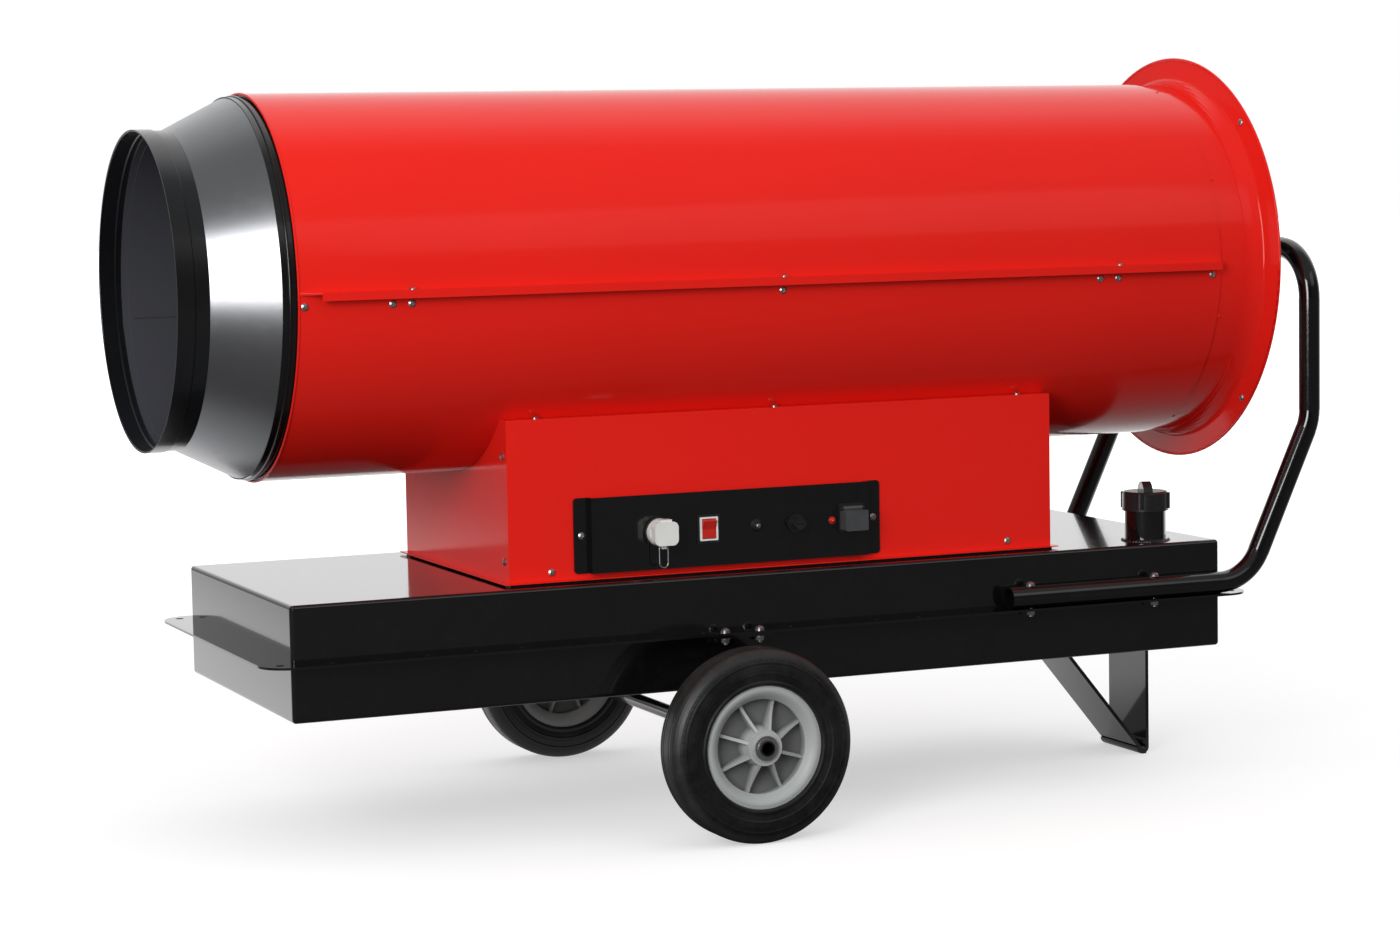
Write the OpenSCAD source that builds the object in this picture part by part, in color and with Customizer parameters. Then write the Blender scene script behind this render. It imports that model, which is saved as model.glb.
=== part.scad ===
// Mobile oil-fired forced air heater: a tubular fan and burner casing on a flat fuel tank with two wheels.
// X runs along the casing and the outlet looks to -X. Z is up from the floor. The control panel faces -Y.
// All sizes are millimetres. Places named ..._at are measured from the outlet end of the tank.

/* [Fuel tank] */
// Length of the tank body
tank_l = 1336; // [1250:1:1420]
// Width of the tank body
tank_w = 480; // [450:1:520]
// Height of the tank body
tank_h = 148; // [120:1:180]
// Height of the tank floor above the ground
tank_base = 182; // [172:1:200]
// Sheet thickness of the tank
tank_t = 1.5; // [1:0.1:2]
// How far the welded flange stands out along the sides
flange_side = 29; // [28:0.5:34]
// How far the welded flange stands out at the ends
flange_end = 40; // [34:1:60]
// Radius of the flange corners
flange_r = 40; // [20:1:45]
// Outside radius of the folded tank edges
fold_r = 5; // [3:0.5:8]
// Diameter of the four tie-down holes in the flange
tie_d = 11; // [8:0.5:13]

/* [Filler] */
// Place of the filler neck along the tank
filler_at = 1249; // [1200:1:1280]
// Distance of the filler neck's axis inside the tank's front face
filler_in = 52; // [45:1:90]
// Outside diameter of the filler neck
neck_d = 57; // [50:1:64]
// Height of the filler neck above the tank
neck_h = 61; // [50:1:70]
// Height of the cap skirt
cap_h = 25; // [20:1:30]

/* [Heater casing] */
// Outside diameter of the casing
casing_d = 500; // [490:1:510]
// Length of the casing
casing_l = 1316; // [1290:1:1330]
// Place of the casing's outlet end
casing_at = 19; // [10:1:30]
// Height of the casing axis above the ground
axis_h = 714; // [700:1:740]
// Sheet thickness of the casing
casing_t = 1.5; // [1:0.1:2]
// Width of the flanges along the casing seam
seam_w = 12; // [10:0.5:15]
// Height of the folded edge on the upper seam flange
seam_drop = 9; // [5:0.5:12]

/* [Outlet] */
// How much smaller the outlet's radius is than the casing's
cone_step = 44; // [40:0.5:50]
// Length of the spigot in front of the cone
spigot_l = 41; // [30:1:60]
// Length of the cone
cone_l = 80; // [60:1:100]

/* [Inlet] */
// How far the bell mouth stands out beyond the casing
bell_out = 37.5; // [34:0.5:42]
// Straight length between casing and bell mouth
bell_neck_l = 41; // [34:1:46]
// Wire diameter of the inlet guard
wire_d = 5; // [4:0.5:6]
// Number of rings in the inlet guard
guard_rings = 9; // [6:1:10]

/* [Fan and motor] */
// Gap between the blade tips and the casing
tip_gap = 10.5; // [8:0.5:20]
// Number of fan blades
blades = 7; // [5:1:9]
// Diameter of the fan hub
fan_hub_d = 120; // [100:1:140]
// Diameter of the motor body
motor_d = 140; // [130:1:160]
// Length of the motor body
motor_l = 140; // [120:1:150]
// Diameter of the motor shaft
shaft_d = 14; // [12:1:18]

/* [Burner and chamber] */
// Diameter of the combustion chamber
chamber_d = 340; // [300:1:360]
// Length of the combustion chamber
chamber_l = 690; // [600:1:700]
// Diameter of the burner tube
burner_d = 110; // [100:1:130]
// Length of the burner tube
burner_l = 140; // [130:1:150]

/* [Housing under the casing] */
// Place of the housing's outlet end
housing_at = 300; // [290:1:320]
// Length of the housing
housing_l = 788; // [780:1:800]
// Width of the housing
housing_w = 412; // [400:1:420]
// Width of the folded edge on top of the front and rear panels
fold_w = 23.7; // [19:0.1:28]
// Sheet thickness of the housing
housing_t = 1.5; // [1:0.1:2]
// Width of the outward lip at the foot of the housing
lip_w = 8; // [6:0.5:12]

/* [Control panel] */
// Place of the panel's outlet end
panel_at = 389; // [375:1:400]
// Length of the panel
panel_l = 438; // [430:1:460]
// Height of the panel
panel_h = 98; // [92:1:104]
// How far the middle of the panel stands proud
panel_raise = 10; // [8:0.5:14]
// Sheet thickness of the panel
panel_t = 2; // [1.5:0.1:2.5]
// Tilt of the rocker to either side of flat
rocker_tilt = 9; // [6:0.5:10]

/* [Wheels] */
// Wheel diameter
wheel_d = 250; // [240:1:260]
// Width of the tyre
tyre_w = 62; // [54:1:68]
// Distance of the wheel's middle from the side of the tank
wheel_out = 113; // [108:1:125]
// Place of the axle
axle_at = 576; // [560:1:600]
// Diameter of the axle tube
axle_d = 20; // [18:1:25]
// Diameter of the wheel rim
rim_d = 158; // [140:1:170]
// Number of ribs on each side of the rim
ribs = 8; // [6:1:10]

/* [Handle] */
// Diameter of the handle tube
handle_d = 30; // [25:1:34]
// Wall of the handle tube
handle_t = 2; // [1.5:0.1:3]
// Place of the open ends of the handle
handle_at = 996; // [970:1:1005]
// Distance of the handle legs' axis from the side of the tank
handle_out = 16; // [16:0.5:20]
// Distance of the upright part behind the tank
handle_back = 138; // [130:1:180]
// Height of the crossbar's axis above the ground
handle_h = 730; // [700:1:800]
// Radius of the tube bends at the axis
bend_r = 70; // [60:1:80]

/* [Support leg] */
// Width of the bent strip
leg_w = 104; // [90:1:140]
// Thickness of the strip
leg_t = 5; // [4:0.5:6]
// Distance of the leg's back face from the tank's inlet end
leg_inset = 2.5; // [0:0.5:30]
// Length that the brace spans along the tank
brace_run = 148; // [120:1:180]

/* [Hidden] */

// cutting overrun, seat clearance of fixed pieces and running clearance on a radius
over = 1;
gap = 0.3;
run_gap = 0.05;
snug = 0.02;

// frame: the overall box is centred on X and Y
spigot_reach = cone_l + spigot_l;
collar_w = 18;
outlet_reach = spigot_reach - casing_at + collar_w;
handle_reach = handle_back + handle_d / 2;
x0 = (outlet_reach - handle_reach - tank_l) / 2;
function ox(d) = x0 + d;
x1 = ox(tank_l);
seam_z = tank_base + tank_h / 2;
tank_top = tank_base + tank_h;
filler_y = tank_w / 2 - filler_in;
handle_y = tank_w / 2 + handle_out;
wheel_y = tank_w / 2 + wheel_out;
tie_out = 16;
tie_in = 4;
casing_r = casing_d / 2;
casing_x = ox(casing_at);
casing_end = ox(casing_at + casing_l);
casing_in_r = casing_r - casing_t;
spigot_r = casing_r - cone_step;
bell_r = casing_r + bell_out;
fan_r = casing_in_r - tip_gap;

// fasteners: shank and head sizes of the small screws and of the frame bolts
screw_d = 5;
screw_head_d = 9.5;
screw_head_h = 3.2;
screw_l = 9;
screw_hole = screw_d + 2 * gap;
bolt_d = 6;
bolt_head_d = 12;
bolt_head_h = 5;
bolt_hole = bolt_d + 2 * gap;
washer_d = 13;
washer_t = 1.2;
nut_w = 10;
nut_h = 5;
bolt_tail = 2.5;

module along_x(x = 0, y = 0, z = 0) translate([x, y, z]) rotate([0, 90, 0]) children();
module along_y(x = 0, y = 0, z = 0) translate([x, y, z]) rotate([-90, 0, 0]) children();
module out_front(x, y, z) translate([x, y, z]) rotate([90, 0, 0]) children();
module both_sides() {
  children();
  mirror([0, 1, 0]) children();
}
module tube(d, t, l) difference() {
  cylinder(d = d, h = l);
  translate([0, 0, -over]) cylinder(d = d - 2 * t, h = l + 2 * over);
}
module round_plate(l, w, r, h) linear_extrude(h) {
  square([l - 2 * r, w], center = true);
  square([l, w - 2 * r], center = true);
  for (sx = [-1, 1], sy = [-1, 1]) translate([sx * (l / 2 - r), sy * (w / 2 - r)]) circle(r);
}
// a surface of revolution about the casing axis, from a profile of [distance along X, radius]
module turned_x(profile) along_x(0, 0, axis_h) rotate_extrude() polygon([for (p = profile) [p[1], p[0]]]);
// low domed head on a shank, with its seat on z = 0
module round_screw(d, head_d, head_h, l) {
  rotate_extrude($fn = 24) intersection() {
    translate([0, head_h - head_r(head_d, head_h)]) circle(head_r(head_d, head_h), $fn = 96);
    square([head_d / 2, head_h]);
  }
  translate([0, 0, -l]) cylinder(d = d, h = l + head_h / 2, $fn = 24);
}
// the same screw with a cross recess, whose width, length and depth are shares of its head
recess_w_share = 0.17;
recess_l_share = 0.56;
recess_h_share = 0.45;
module cross_screw(d, head_d, head_h, l) difference() {
  round_screw(d, head_d, head_h, l);
  translate([0, 0, head_h]) {
    cube([recess_w_share * head_d, recess_l_share * head_d, 2 * recess_h_share * head_h], center = true);
    cube([recess_l_share * head_d, recess_w_share * head_d, 2 * recess_h_share * head_h], center = true);
  }
}
// radius of the head's dome, which rises over this share of the head's height
dome_share = 0.6;
function head_r(d, h) = (d * d / 4 + pow(dome_share * h, 2)) / (2 * dome_share * h);
// dome bolt with washers and a hexagon nut around the stack of height grip that starts at z = 0 and goes down
module clamp_bolt(grip) {
  translate([0, 0, washer_t])
    round_screw(bolt_d, bolt_head_d, bolt_head_h, grip + 2 * washer_t + nut_h + bolt_tail);
  cylinder(d = washer_d, h = washer_t, $fn = 32);
  translate([0, 0, -grip - washer_t]) cylinder(d = washer_d, h = washer_t, $fn = 32);
  translate([0, 0, -grip - washer_t - nut_h]) cylinder(d = nut_w / cos(30), h = nut_h, $fn = 6);
}

// fuel tank
module rounded_tub(l, w, h, r) hull() for (sx = [-1, 1], sy = [-1, 1])
  translate([sx * (l / 2 - r), sy * (w / 2 - r), 0]) {
  rotate_extrude($fn = 24) intersection() {
    translate([0, r]) circle(r, $fn = 24);
    square(r);
  }
  translate([0, 0, r]) cylinder(r = r, h = h - r, $fn = 24);
}
module tray(h) {
  difference() {
    union() {
      rounded_tub(tank_l, tank_w, h, fold_r);
      translate([0, 0, h - tank_t])
        round_plate(tank_l + 2 * flange_end, tank_w + 2 * flange_side, flange_r, tank_t);
    }
    translate([0, 0, tank_t]) rounded_tub(tank_l - 2 * tank_t, tank_w - 2 * tank_t, h, fold_r - tank_t);
    for (sx = [-1, 1], sy = [-1, 1])
      translate([sx * (tank_l / 2 + tie_out), sy * (tank_w / 2 + tie_in), h - 2 * tank_t])
        cylinder(d = tie_d, h = 3 * tank_t);
    both_sides() for (x = bracket_bolt_x) translate([x - tank_mid, bracket_bolt_y, h - 2 * tank_t])
      cylinder(d = bolt_hole, h = 3 * tank_t);
    both_sides() for (x = handle_bolt_x) translate([x - tank_mid, handle_y, h - 2 * tank_t])
      cylinder(d = bolt_hole, h = 3 * tank_t);
  }
}
tank_mid = (x0 + x1) / 2;
axle_x = ox(axle_at);
bracket_bolt_pitch = 49;
bracket_bolt_in = 1;
bracket_bolt_x = [axle_x + bracket_bolt_in, axle_x + bracket_bolt_in + bracket_bolt_pitch];
bolt_edge = 4;
bracket_bolt_y = tank_w / 2 + flange_side - bolt_head_d / 2 - bolt_edge;
handle_bolts_in = [33, 226];
handle_bolt_x = [for (d = handle_bolts_in) ox(handle_at + d)];
module tank_lower_tray() color([0.06, 0.06, 0.06]) translate([tank_mid, 0, tank_base]) difference() {
  tray(tank_h / 2);
  translate([drain_x - tank_mid, 0, -over]) cylinder(d = drain_d + 2 * gap, h = tank_t + 2 * over);
}
module tank_upper_tray() color([0.06, 0.06, 0.06]) translate([tank_mid, 0, tank_top]) {
  difference() {
    mirror([0, 0, 1]) tray(tank_h / 2);
    translate([filler_x - tank_mid, -filler_y, -over - tank_t])
      cylinder(d = neck_d + 2 * gap, h = tank_t + 2 * over);
    for (p = pipe_places) translate([p[0] - tank_mid, p[1], -over - tank_t])
      cylinder(d = pipe_d + 2 * gap, h = tank_t + 2 * over, $fn = 24);
  }
  both_sides() translate([ox(housing_at) - tank_mid, housing_w / 2 - rail_in, 0])
    cube([housing_l, rail_w, rail_t]);
}
// flat rails welded on the tank top, which the housing stands on
rail_w = 18;
rail_in = 14;
rail_t = 2.5;
drain_at = 70;
drain_x = ox(drain_at);
drain_d = 16;
drain_hex = 22;
drain_h = 8;
drain_in = 12;
module drain_plug() color("silver") translate([drain_x, 0, tank_base]) {
  translate([0, 0, -drain_h]) cylinder(d = drain_hex / cos(30), h = drain_h - washer_t, $fn = 6);
  translate([0, 0, -washer_t]) cylinder(d = drain_hex + 2 * tank_t, h = washer_t);
  cylinder(d = drain_d, h = drain_in);
}

// filler neck, strainer, seal and cap
filler_x = ox(filler_at);
neck_t = 2;
neck_in = 8;
neck_foot_w = 4;
neck_foot_h = 3;
module at_filler(z) translate([filler_x, -filler_y, tank_top + z]) children();
module filler_neck() color([0.08, 0.08, 0.08]) at_filler(-neck_in) {
  tube(neck_d, neck_t, neck_h + neck_in);
  translate([0, 0, neck_in]) difference() {
    cylinder(d1 = neck_d + 2 * neck_foot_w, d2 = neck_d + neck_foot_w, h = neck_foot_h);
    translate([0, 0, -over]) cylinder(d = neck_d - neck_t, h = neck_foot_h + 2 * over);
  }
}
strainer_d = neck_d - 2 * neck_t - 2 * gap;
strainer_t = 0.8;
strainer_l = 110;
strainer_slots = 10;
strainer_slot_w = 4;
strainer_slot_l = 70;
module filler_strainer() color([0.75, 0.7, 0.4]) at_filler(neck_h) difference() {
  union() {
    translate([0, 0, -strainer_l]) cylinder(d = strainer_d, h = strainer_l);
    cylinder(d = neck_d, h = strainer_t);
  }
  translate([0, 0, strainer_t - strainer_l])
    cylinder(d = strainer_d - 2 * strainer_t, h = strainer_l + over);
  for (i = [0 : strainer_slots / 2 - 1]) rotate(i * 360 / strainer_slots)
    translate([-strainer_d / 2 - over, -strainer_slot_w / 2, 6 * strainer_t - strainer_l])
      cube([strainer_d + 2 * over, strainer_slot_w, strainer_slot_l]);
}
seal_t = 2;
rest_gap = 0.1;
seal_z = neck_h + strainer_t + rest_gap;
cap_clear = 0.6;
cap_t = 3;
cap_r = neck_d / 2 + cap_clear + cap_t;
cap_lobe_r = 7;
cap_lobes = 4;
cap_lobe_out = 1.5;
wing_l = 44;
wing_t = 13;
wing_h = 16;
wing_turn = 72;
module cap_seal() color([0.2, 0.2, 0.2]) at_filler(seal_z) difference() {
  cylinder(d = neck_d, h = seal_t);
  translate([0, 0, -over]) cylinder(d = strainer_d - 2 * cap_t, h = seal_t + 2 * over);
}
module filler_cap() color([0.1, 0.1, 0.1]) at_filler(seal_z + seal_t + rest_gap) {
  difference() {
    union() {
      translate([0, 0, cap_t - cap_h]) cylinder(r = cap_r, h = cap_h - cap_t / 2);
      translate([0, 0, cap_t / 2]) cylinder(r1 = cap_r, r2 = cap_r - cap_t, h = cap_t);
      for (i = [0 : cap_lobes - 1]) rotate(45 + i * 360 / cap_lobes)
        translate([cap_r - cap_lobe_r + 2 * cap_lobe_out, 0, cap_t - cap_h + 2 * cap_lobe_out])
          cylinder(r = cap_lobe_r, h = cap_h - 2 * cap_lobe_out);
    }
    translate([0, 0, -cap_h - over]) cylinder(r = cap_r - cap_t, h = cap_h + over);
  }
  // wing grip: a rounded tongue across the top
  translate([0, 0, cap_t / 2]) rotate([90, 0, wing_turn]) translate([0, 0, -wing_t / 2])
    linear_extrude(wing_t) difference() {
    translate([0, wing_h - wing_l / 2]) circle(wing_l / 2);
    translate([-wing_l, -wing_l]) square([2 * wing_l, wing_l]);
  }
}

// support leg: one strip bent to a V, welded under the tank by two turned tabs
leg_x = x1 - leg_inset;
leg_round = 10;
leg_tab = 28;
brace_a = atan2(tank_base, brace_run);
brace_len = tank_base / sin(brace_a);
module support_leg() color([0.05, 0.05, 0.05]) out_front(leg_x, leg_w / 2, 0) linear_extrude(leg_w)
  intersection() {
  union() {
    translate([-leg_t, leg_round]) square([leg_t, tank_base - leg_round]);
    translate([-leg_tab, tank_base - leg_t]) square([leg_tab, leg_t]);
    translate([-leg_round, leg_round]) difference() {
      circle(leg_round);
      translate([-2 * leg_round, 0]) square([2 * leg_round, leg_round]);
      circle(leg_round - leg_t);
    }
    // brace, on the line from the bend to the tank floor
    translate([-leg_round, 0]) rotate(180 - brace_a) translate([-leg_t, -leg_t]) square([brace_len, leg_t]);
    translate([-brace_run - leg_round - leg_tab, tank_base - leg_t]) square([leg_tab + 2 * leg_t, leg_t]);
  }
  translate([-2 * brace_run, 0]) square([2 * brace_run, tank_base]);
}

// axle, brackets and wheels
axle_z = wheel_d / 2;
axle_t = 2.2;
hub_face = wheel_y + tyre_w / 2;
hub_back = wheel_y - tyre_w / 2;
stop_w = 5;
stop_d = 32;
end_washer_t = 2;
end_ring_t = 1.5;
end_ring_w = 2.5;
axle_tail = 2;
axle_end = hub_face + gap + end_washer_t + end_ring_t + axle_tail;
module axle() color([0.1, 0.1, 0.1]) along_y(axle_x, 0, axle_z) {
  translate([0, 0, -axle_end]) tube(axle_d, axle_t, 2 * axle_end);
  for (s = [0, 1]) mirror([0, 0, s]) translate([0, 0, hub_back - gap - stop_w])
    tube(stop_d, (stop_d - axle_d) / 2, stop_w);
}
module axle_end_rings() color("silver") both_sides() along_y(axle_x, hub_face + gap, axle_z) {
  tube(stop_d, (stop_d - axle_d) / 2 - snug, end_washer_t);
  translate([0, 0, end_washer_t]) tube(axle_d + 2 * end_ring_w, end_ring_w - snug, end_ring_t);
}
bracket_t = 4;
bracket_gap = 2;
bracket_side = 15;
bracket_web_y = tank_w / 2 + bracket_gap;
bracket_boss_r = 22;
bracket_l = bracket_bolt_pitch + 2 * bracket_side;
bracket_top = seam_z - tank_t;
module axle_bracket() difference() {
  union() {
    translate([bracket_bolt_x[0] - bracket_side, bracket_web_y, bracket_top - bracket_t])
      cube([bracket_l, bracket_bolt_y + bracket_side / 2 - bracket_web_y, bracket_t]);
    along_y(0, bracket_web_y, 0) mirror([0, 1, 0]) linear_extrude(bracket_t) union() {
      polygon([[bracket_bolt_x[0] - bracket_side, bracket_top],
        [bracket_bolt_x[1] + bracket_side, bracket_top],
        [axle_x + bracket_boss_r, axle_z], [axle_x - bracket_boss_r, axle_z]]);
      translate([axle_x, axle_z]) circle(bracket_boss_r);
    }
  }
  along_y(axle_x, bracket_web_y - over, axle_z) cylinder(d = axle_d + 2 * snug, h = bracket_t + 2 * over);
  for (x = bracket_bolt_x) translate([x, bracket_bolt_y, bracket_top - 2 * bracket_t])
    cylinder(d = bolt_hole, h = 3 * bracket_t);
}
module axle_brackets() color([0.05, 0.05, 0.05]) both_sides() axle_bracket();
module bracket_bolts() color("silver") both_sides() for (x = bracket_bolt_x)
  translate([x, bracket_bolt_y, seam_z + tank_t]) clamp_bolt(2 * tank_t + bracket_t);

// wheel: every part of it is turned about its own axis along Z
rim_r = rim_d / 2;
rim_inset = 5;
rim_w = tyre_w - 2 * rim_inset;
rim_crown = 1;
rib_turn_share = 0.4;
rim_lip = 5;
rim_ring_w = 18;
rim_dish = 9;
web_t = 6;
boss_r = 23;
boss_flare = 5;
bush_r = 14;
bush_l = 24;
bush_flange_w = 4;
bush_flange_t = 2;
rib_t = 4;
rib_low = 4;
module wheel_rim() {
  rotate_extrude() {
    translate([bush_r + snug, bush_flange_t - tyre_w / 2])
      square([boss_r - bush_r - snug, tyre_w - 2 * bush_flange_t]);
    polygon([[boss_r - over, bush_flange_t - tyre_w / 2], [boss_r, bush_flange_t - tyre_w / 2],
      [boss_r + boss_flare, 0], [boss_r, tyre_w / 2 - bush_flange_t],
      [boss_r - over, tyre_w / 2 - bush_flange_t]]);
    translate([boss_r - over, -web_t / 2]) square([rim_r - boss_r, web_t]);
    polygon(concat(rim_half(1), [for (p = reversed(rim_half(-1))) p]));
  }
  for (i = [0 : ribs - 1], s = [0, 1]) mirror([0, 0, s]) rotate([90, 0, (i + rib_turn_share) * 360 / ribs])
    translate([0, 0, -rib_t / 2]) linear_extrude(rib_t)
      polygon(concat([[boss_r - over, 0], [boss_r - over, tyre_w / 2 - rib_low]],
      [for (t = [0 : 0.2 : 1]) [blend(boss_r + over, rim_r - rim_ring_w + over, t),
        blend(rim_w / 2 - rim_dish - rib_low, tyre_w / 2 - rib_low, 1 - sin(90 * t))]],
      [[rim_r - rim_ring_w + over, 0]]));
}
function reversed(list) = [for (i = [len(list) - 1 : -1 : 0]) list[i]];
// the rim's ring: a hollow that climbs to a flat edge
function rim_half(s) = concat(
  [for (t = [0 : 0.2 : 1]) [blend(rim_r - rim_ring_w, rim_r - rim_lip, t),
    s * blend(rim_w / 2 - rim_dish, rim_w / 2 + rim_crown, sin(90 * t))]],
  [[rim_r, s * rim_w / 2]]);
tyre_side_r = 30;
tyre_side_w = 15;
tyre_foot = 5;
tyre_bead = 1.5;
tyre_dip = 1.4;
tyre_ridge = 0.7;
groove_w = 1.6;
groove_d = 2;
groove_y = [10, 16];
// the shoulder: angles around it, and by how much of the ridge's height it stands out there
shoulder_shape = [[0, 0], [12, 0], [24, 0], [27, 1], [31, 1], [34, 0], [46, 0], [58, 0], [70, 0], [80, 0],
  [90, 0]];
wall_low_r = rim_r + tyre_foot;
wall_high_r = wheel_d / 2 - tyre_side_r;
function tyre_half(s) = concat(
  [[rim_r + snug, s * (tyre_w / 2 - tyre_foot)], [rim_r + tyre_bead, s * (tyre_w / 2 - tyre_bead)],
    [rim_r + 2 * tyre_bead, s * (tyre_w / 2 - tyre_bead / 2)]],
  [for (t = [0 : 0.2 : 0.8]) [blend(wall_low_r, wall_high_r, t),
    s * (tyre_w / 2 - tyre_bead / 2 - tyre_dip * sin(180 * sqrt(t)) * (1 - t))]],
  [for (p = shoulder_shape) [wheel_d / 2 - tyre_side_r * (1 - sin(p[0])) + p[1] * tyre_ridge * sin(p[0]),
    s * (tyre_w / 2 - tyre_side_w * (1 - cos(p[0])) + p[1] * tyre_ridge * cos(p[0]))]],
  [for (g = reversed(groove_y), k = [[1, 0], [1, 1], [-1, 1], [-1, 0]])
    [wheel_d / 2 - k[1] * groove_d, s * (g + k[0] * groove_w / 2 - groove_w)]]);
module wheel_tyre() rotate_extrude($fn = 96) polygon(concat(tyre_half(1), reversed(tyre_half(-1))));
module wheel_bushes() for (s = [0, 1]) mirror([0, 0, s]) rotate_extrude() {
  translate([axle_d / 2 + run_gap, tyre_w / 2 - bush_l]) square([bush_r - axle_d / 2 - run_gap, bush_l]);
  translate([axle_d / 2 + run_gap, tyre_w / 2 - bush_flange_t])
    square([bush_r + bush_flange_w - axle_d / 2 - run_gap, bush_flange_t]);
}
module at_wheel(side) along_y(axle_x, side * wheel_y, axle_z) children();
module left_rim() color([0.7, 0.72, 0.72]) at_wheel(-1) wheel_rim();
module left_tyre() color([0.1, 0.1, 0.1]) at_wheel(-1) wheel_tyre();
module left_bushes() color([0.6, 0.6, 0.58]) at_wheel(-1) wheel_bushes();
module right_rim() color([0.7, 0.72, 0.72]) at_wheel(1) wheel_rim();
module right_tyre() color([0.1, 0.1, 0.1]) at_wheel(1) wheel_tyre();
module right_bushes() color([0.6, 0.6, 0.58]) at_wheel(1) wheel_bushes();

// handle: one bent tube, drawn as two mirrored sides; each run or bend carries the next at its end
handle_z = seam_z + tank_t + handle_d / 2;
handle_low_out = 35;
handle_low_x = x1 + handle_low_out;
handle_up_x = x1 + handle_back;
handle_knee_z = 491;
handle_a = atan2(handle_knee_z - handle_z, handle_up_x - handle_low_x);
function bend_cut(a) = bend_r * tan(a / 2);
handle_slant = norm([handle_knee_z - handle_z, handle_up_x - handle_low_x]) - bend_cut(handle_a)
  - bend_cut(90 - handle_a);
bend_lap = 1;
bend_thin = 0.6;
// a straight length of tube, lapping over the bends at its ends
module run(d, l) translate([0, 0, -bend_lap]) cylinder(d = d, h = l + 2 * bend_lap);
module bend(d, start, a) rotate(start - 90) rotate_extrude(angle = a) translate([bend_r, 0])
  circle(d = d - bend_thin);
module handle_path(d, start) {
  both_sides() translate([0, -handle_y, 0]) {
    along_x(start + bend_lap, 0, handle_z) run(d, handle_low_x - bend_cut(handle_a) - start - bend_lap);
    out_front(handle_low_x - bend_cut(handle_a), 0, handle_z + bend_r) bend(d, 0, handle_a);
    translate([handle_low_x, 0, handle_z]) rotate([0, 90 - handle_a, 0])
      translate([0, 0, bend_cut(handle_a)]) run(d, handle_slant);
    out_front(handle_up_x - bend_r, 0, handle_knee_z + bend_cut(90 - handle_a))
      bend(d, handle_a, 90 - handle_a);
    translate([handle_up_x, 0, handle_knee_z + bend_cut(90 - handle_a)])
      run(d, handle_h - bend_r - handle_knee_z - bend_cut(90 - handle_a));
    translate([handle_up_x, bend_r, handle_h - bend_r]) rotate([90, 0, 90]) bend(d, 180, 90);
  }
  along_y(handle_up_x, bend_r - handle_y, handle_h) run(d, 2 * (handle_y - bend_r));
}
module handle_frame() color([0.06, 0.06, 0.06]) difference() {
  handle_path(handle_d, ox(handle_at));
  handle_path(handle_d - 2 * handle_t, ox(handle_at) - 2 * over);
  both_sides() for (x = handle_bolt_x) translate([x, handle_y, handle_z - handle_d])
    cylinder(d = bolt_hole, h = 2 * handle_d);
}
module handle_bolts() color("silver") both_sides() for (x = handle_bolt_x)
  translate([x, handle_y, handle_z + handle_d / 2]) clamp_bolt(handle_d + 2 * tank_t);

// housing: front and rear panels with folded edges between two saddle walls
h0 = ox(housing_at);
h1 = ox(housing_at + housing_l);
foot_z = tank_top + rail_t;
chord_y = housing_w / 2 - fold_w;
housing_top = axis_h - sqrt(pow(casing_r + gap, 2) - pow(chord_y, 2));
housing_h = housing_top - foot_z;
return_w = 24;
panel_side_gap = 26;
window_in = 8;
wall_screw_shares = [0.133, 0.78];
wall_screw_z = [for (s = wall_screw_shares) foot_z + s * housing_h];
foot_screw_shares = [0.074, 0.915];
foot_screw_x = [for (s = foot_screw_shares) h0 + s * housing_l];
foot_screw_up = 12;
foot_screw_z = foot_z + foot_screw_up;
fold_screw_shares = [0.059, 0.487, 0.948];
fold_screw_x = [for (s = fold_screw_shares) h0 + s * housing_l];
return_screw_share = 0.6;
wall_screw_y = return_screw_share * return_w - housing_w / 2;
fold_screw_in_share = 0.3;
fold_screw_y = chord_y + fold_screw_in_share * fold_w;
// one long panel, with screw holes for the saddle walls from hole_x on
module housing_panel(hole_x) difference() {
  union() {
    translate([h0 + housing_t, -housing_w / 2, foot_z])
      cube([housing_l - 2 * housing_t, housing_t, housing_h]);
    translate([h0 + housing_t, -housing_w / 2, housing_top - housing_t])
      cube([housing_l - 2 * housing_t, housing_w / 2 - chord_y, housing_t]);
    translate([h0 - lip_w, -housing_w / 2 - lip_w, foot_z]) cube([housing_l + 2 * lip_w, lip_w, housing_t]);
    translate([h0 + housing_t, -housing_w / 2 - over, foot_z])
      cube([housing_l - 2 * housing_t, housing_t + over, housing_t]);
    for (x = [h0 + housing_t, h1 - 2 * housing_t]) translate([x, -housing_w / 2, foot_z])
      cube([housing_t, return_w, housing_h]);
  }
  for (x = foot_screw_x) along_y(x, -housing_w / 2 - over, foot_screw_z)
    cylinder(d = screw_hole, h = 2 * over + housing_t);
  for (x = fold_screw_x) translate([x, -fold_screw_y, housing_top - housing_t - over])
    cylinder(d = screw_hole, h = 2 * over + housing_t);
  for (z = wall_screw_z) along_x(hole_x, wall_screw_y, z) cylinder(d = screw_hole, h = h1 + over - hole_x);
}
module housing_front_panel() color([0.85, 0.1, 0.07]) difference() {
  housing_panel(h0 - over);
  translate([ox(panel_at) + panel_side_gap, -housing_w / 2 - over, panel_low + window_in])
    cube([panel_l - 2 * panel_side_gap, housing_t + 2 * over, panel_h - 2 * window_in]);
  for (x = tab_screw_x) along_y(x, -housing_w / 2 - over, panel_z)
    cylinder(d = screw_hole, h = housing_t + 2 * over);
}
module housing_rear_panel() color([0.85, 0.1, 0.07]) mirror([0, 1, 0]) housing_panel((h0 + h1) / 2);
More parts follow.
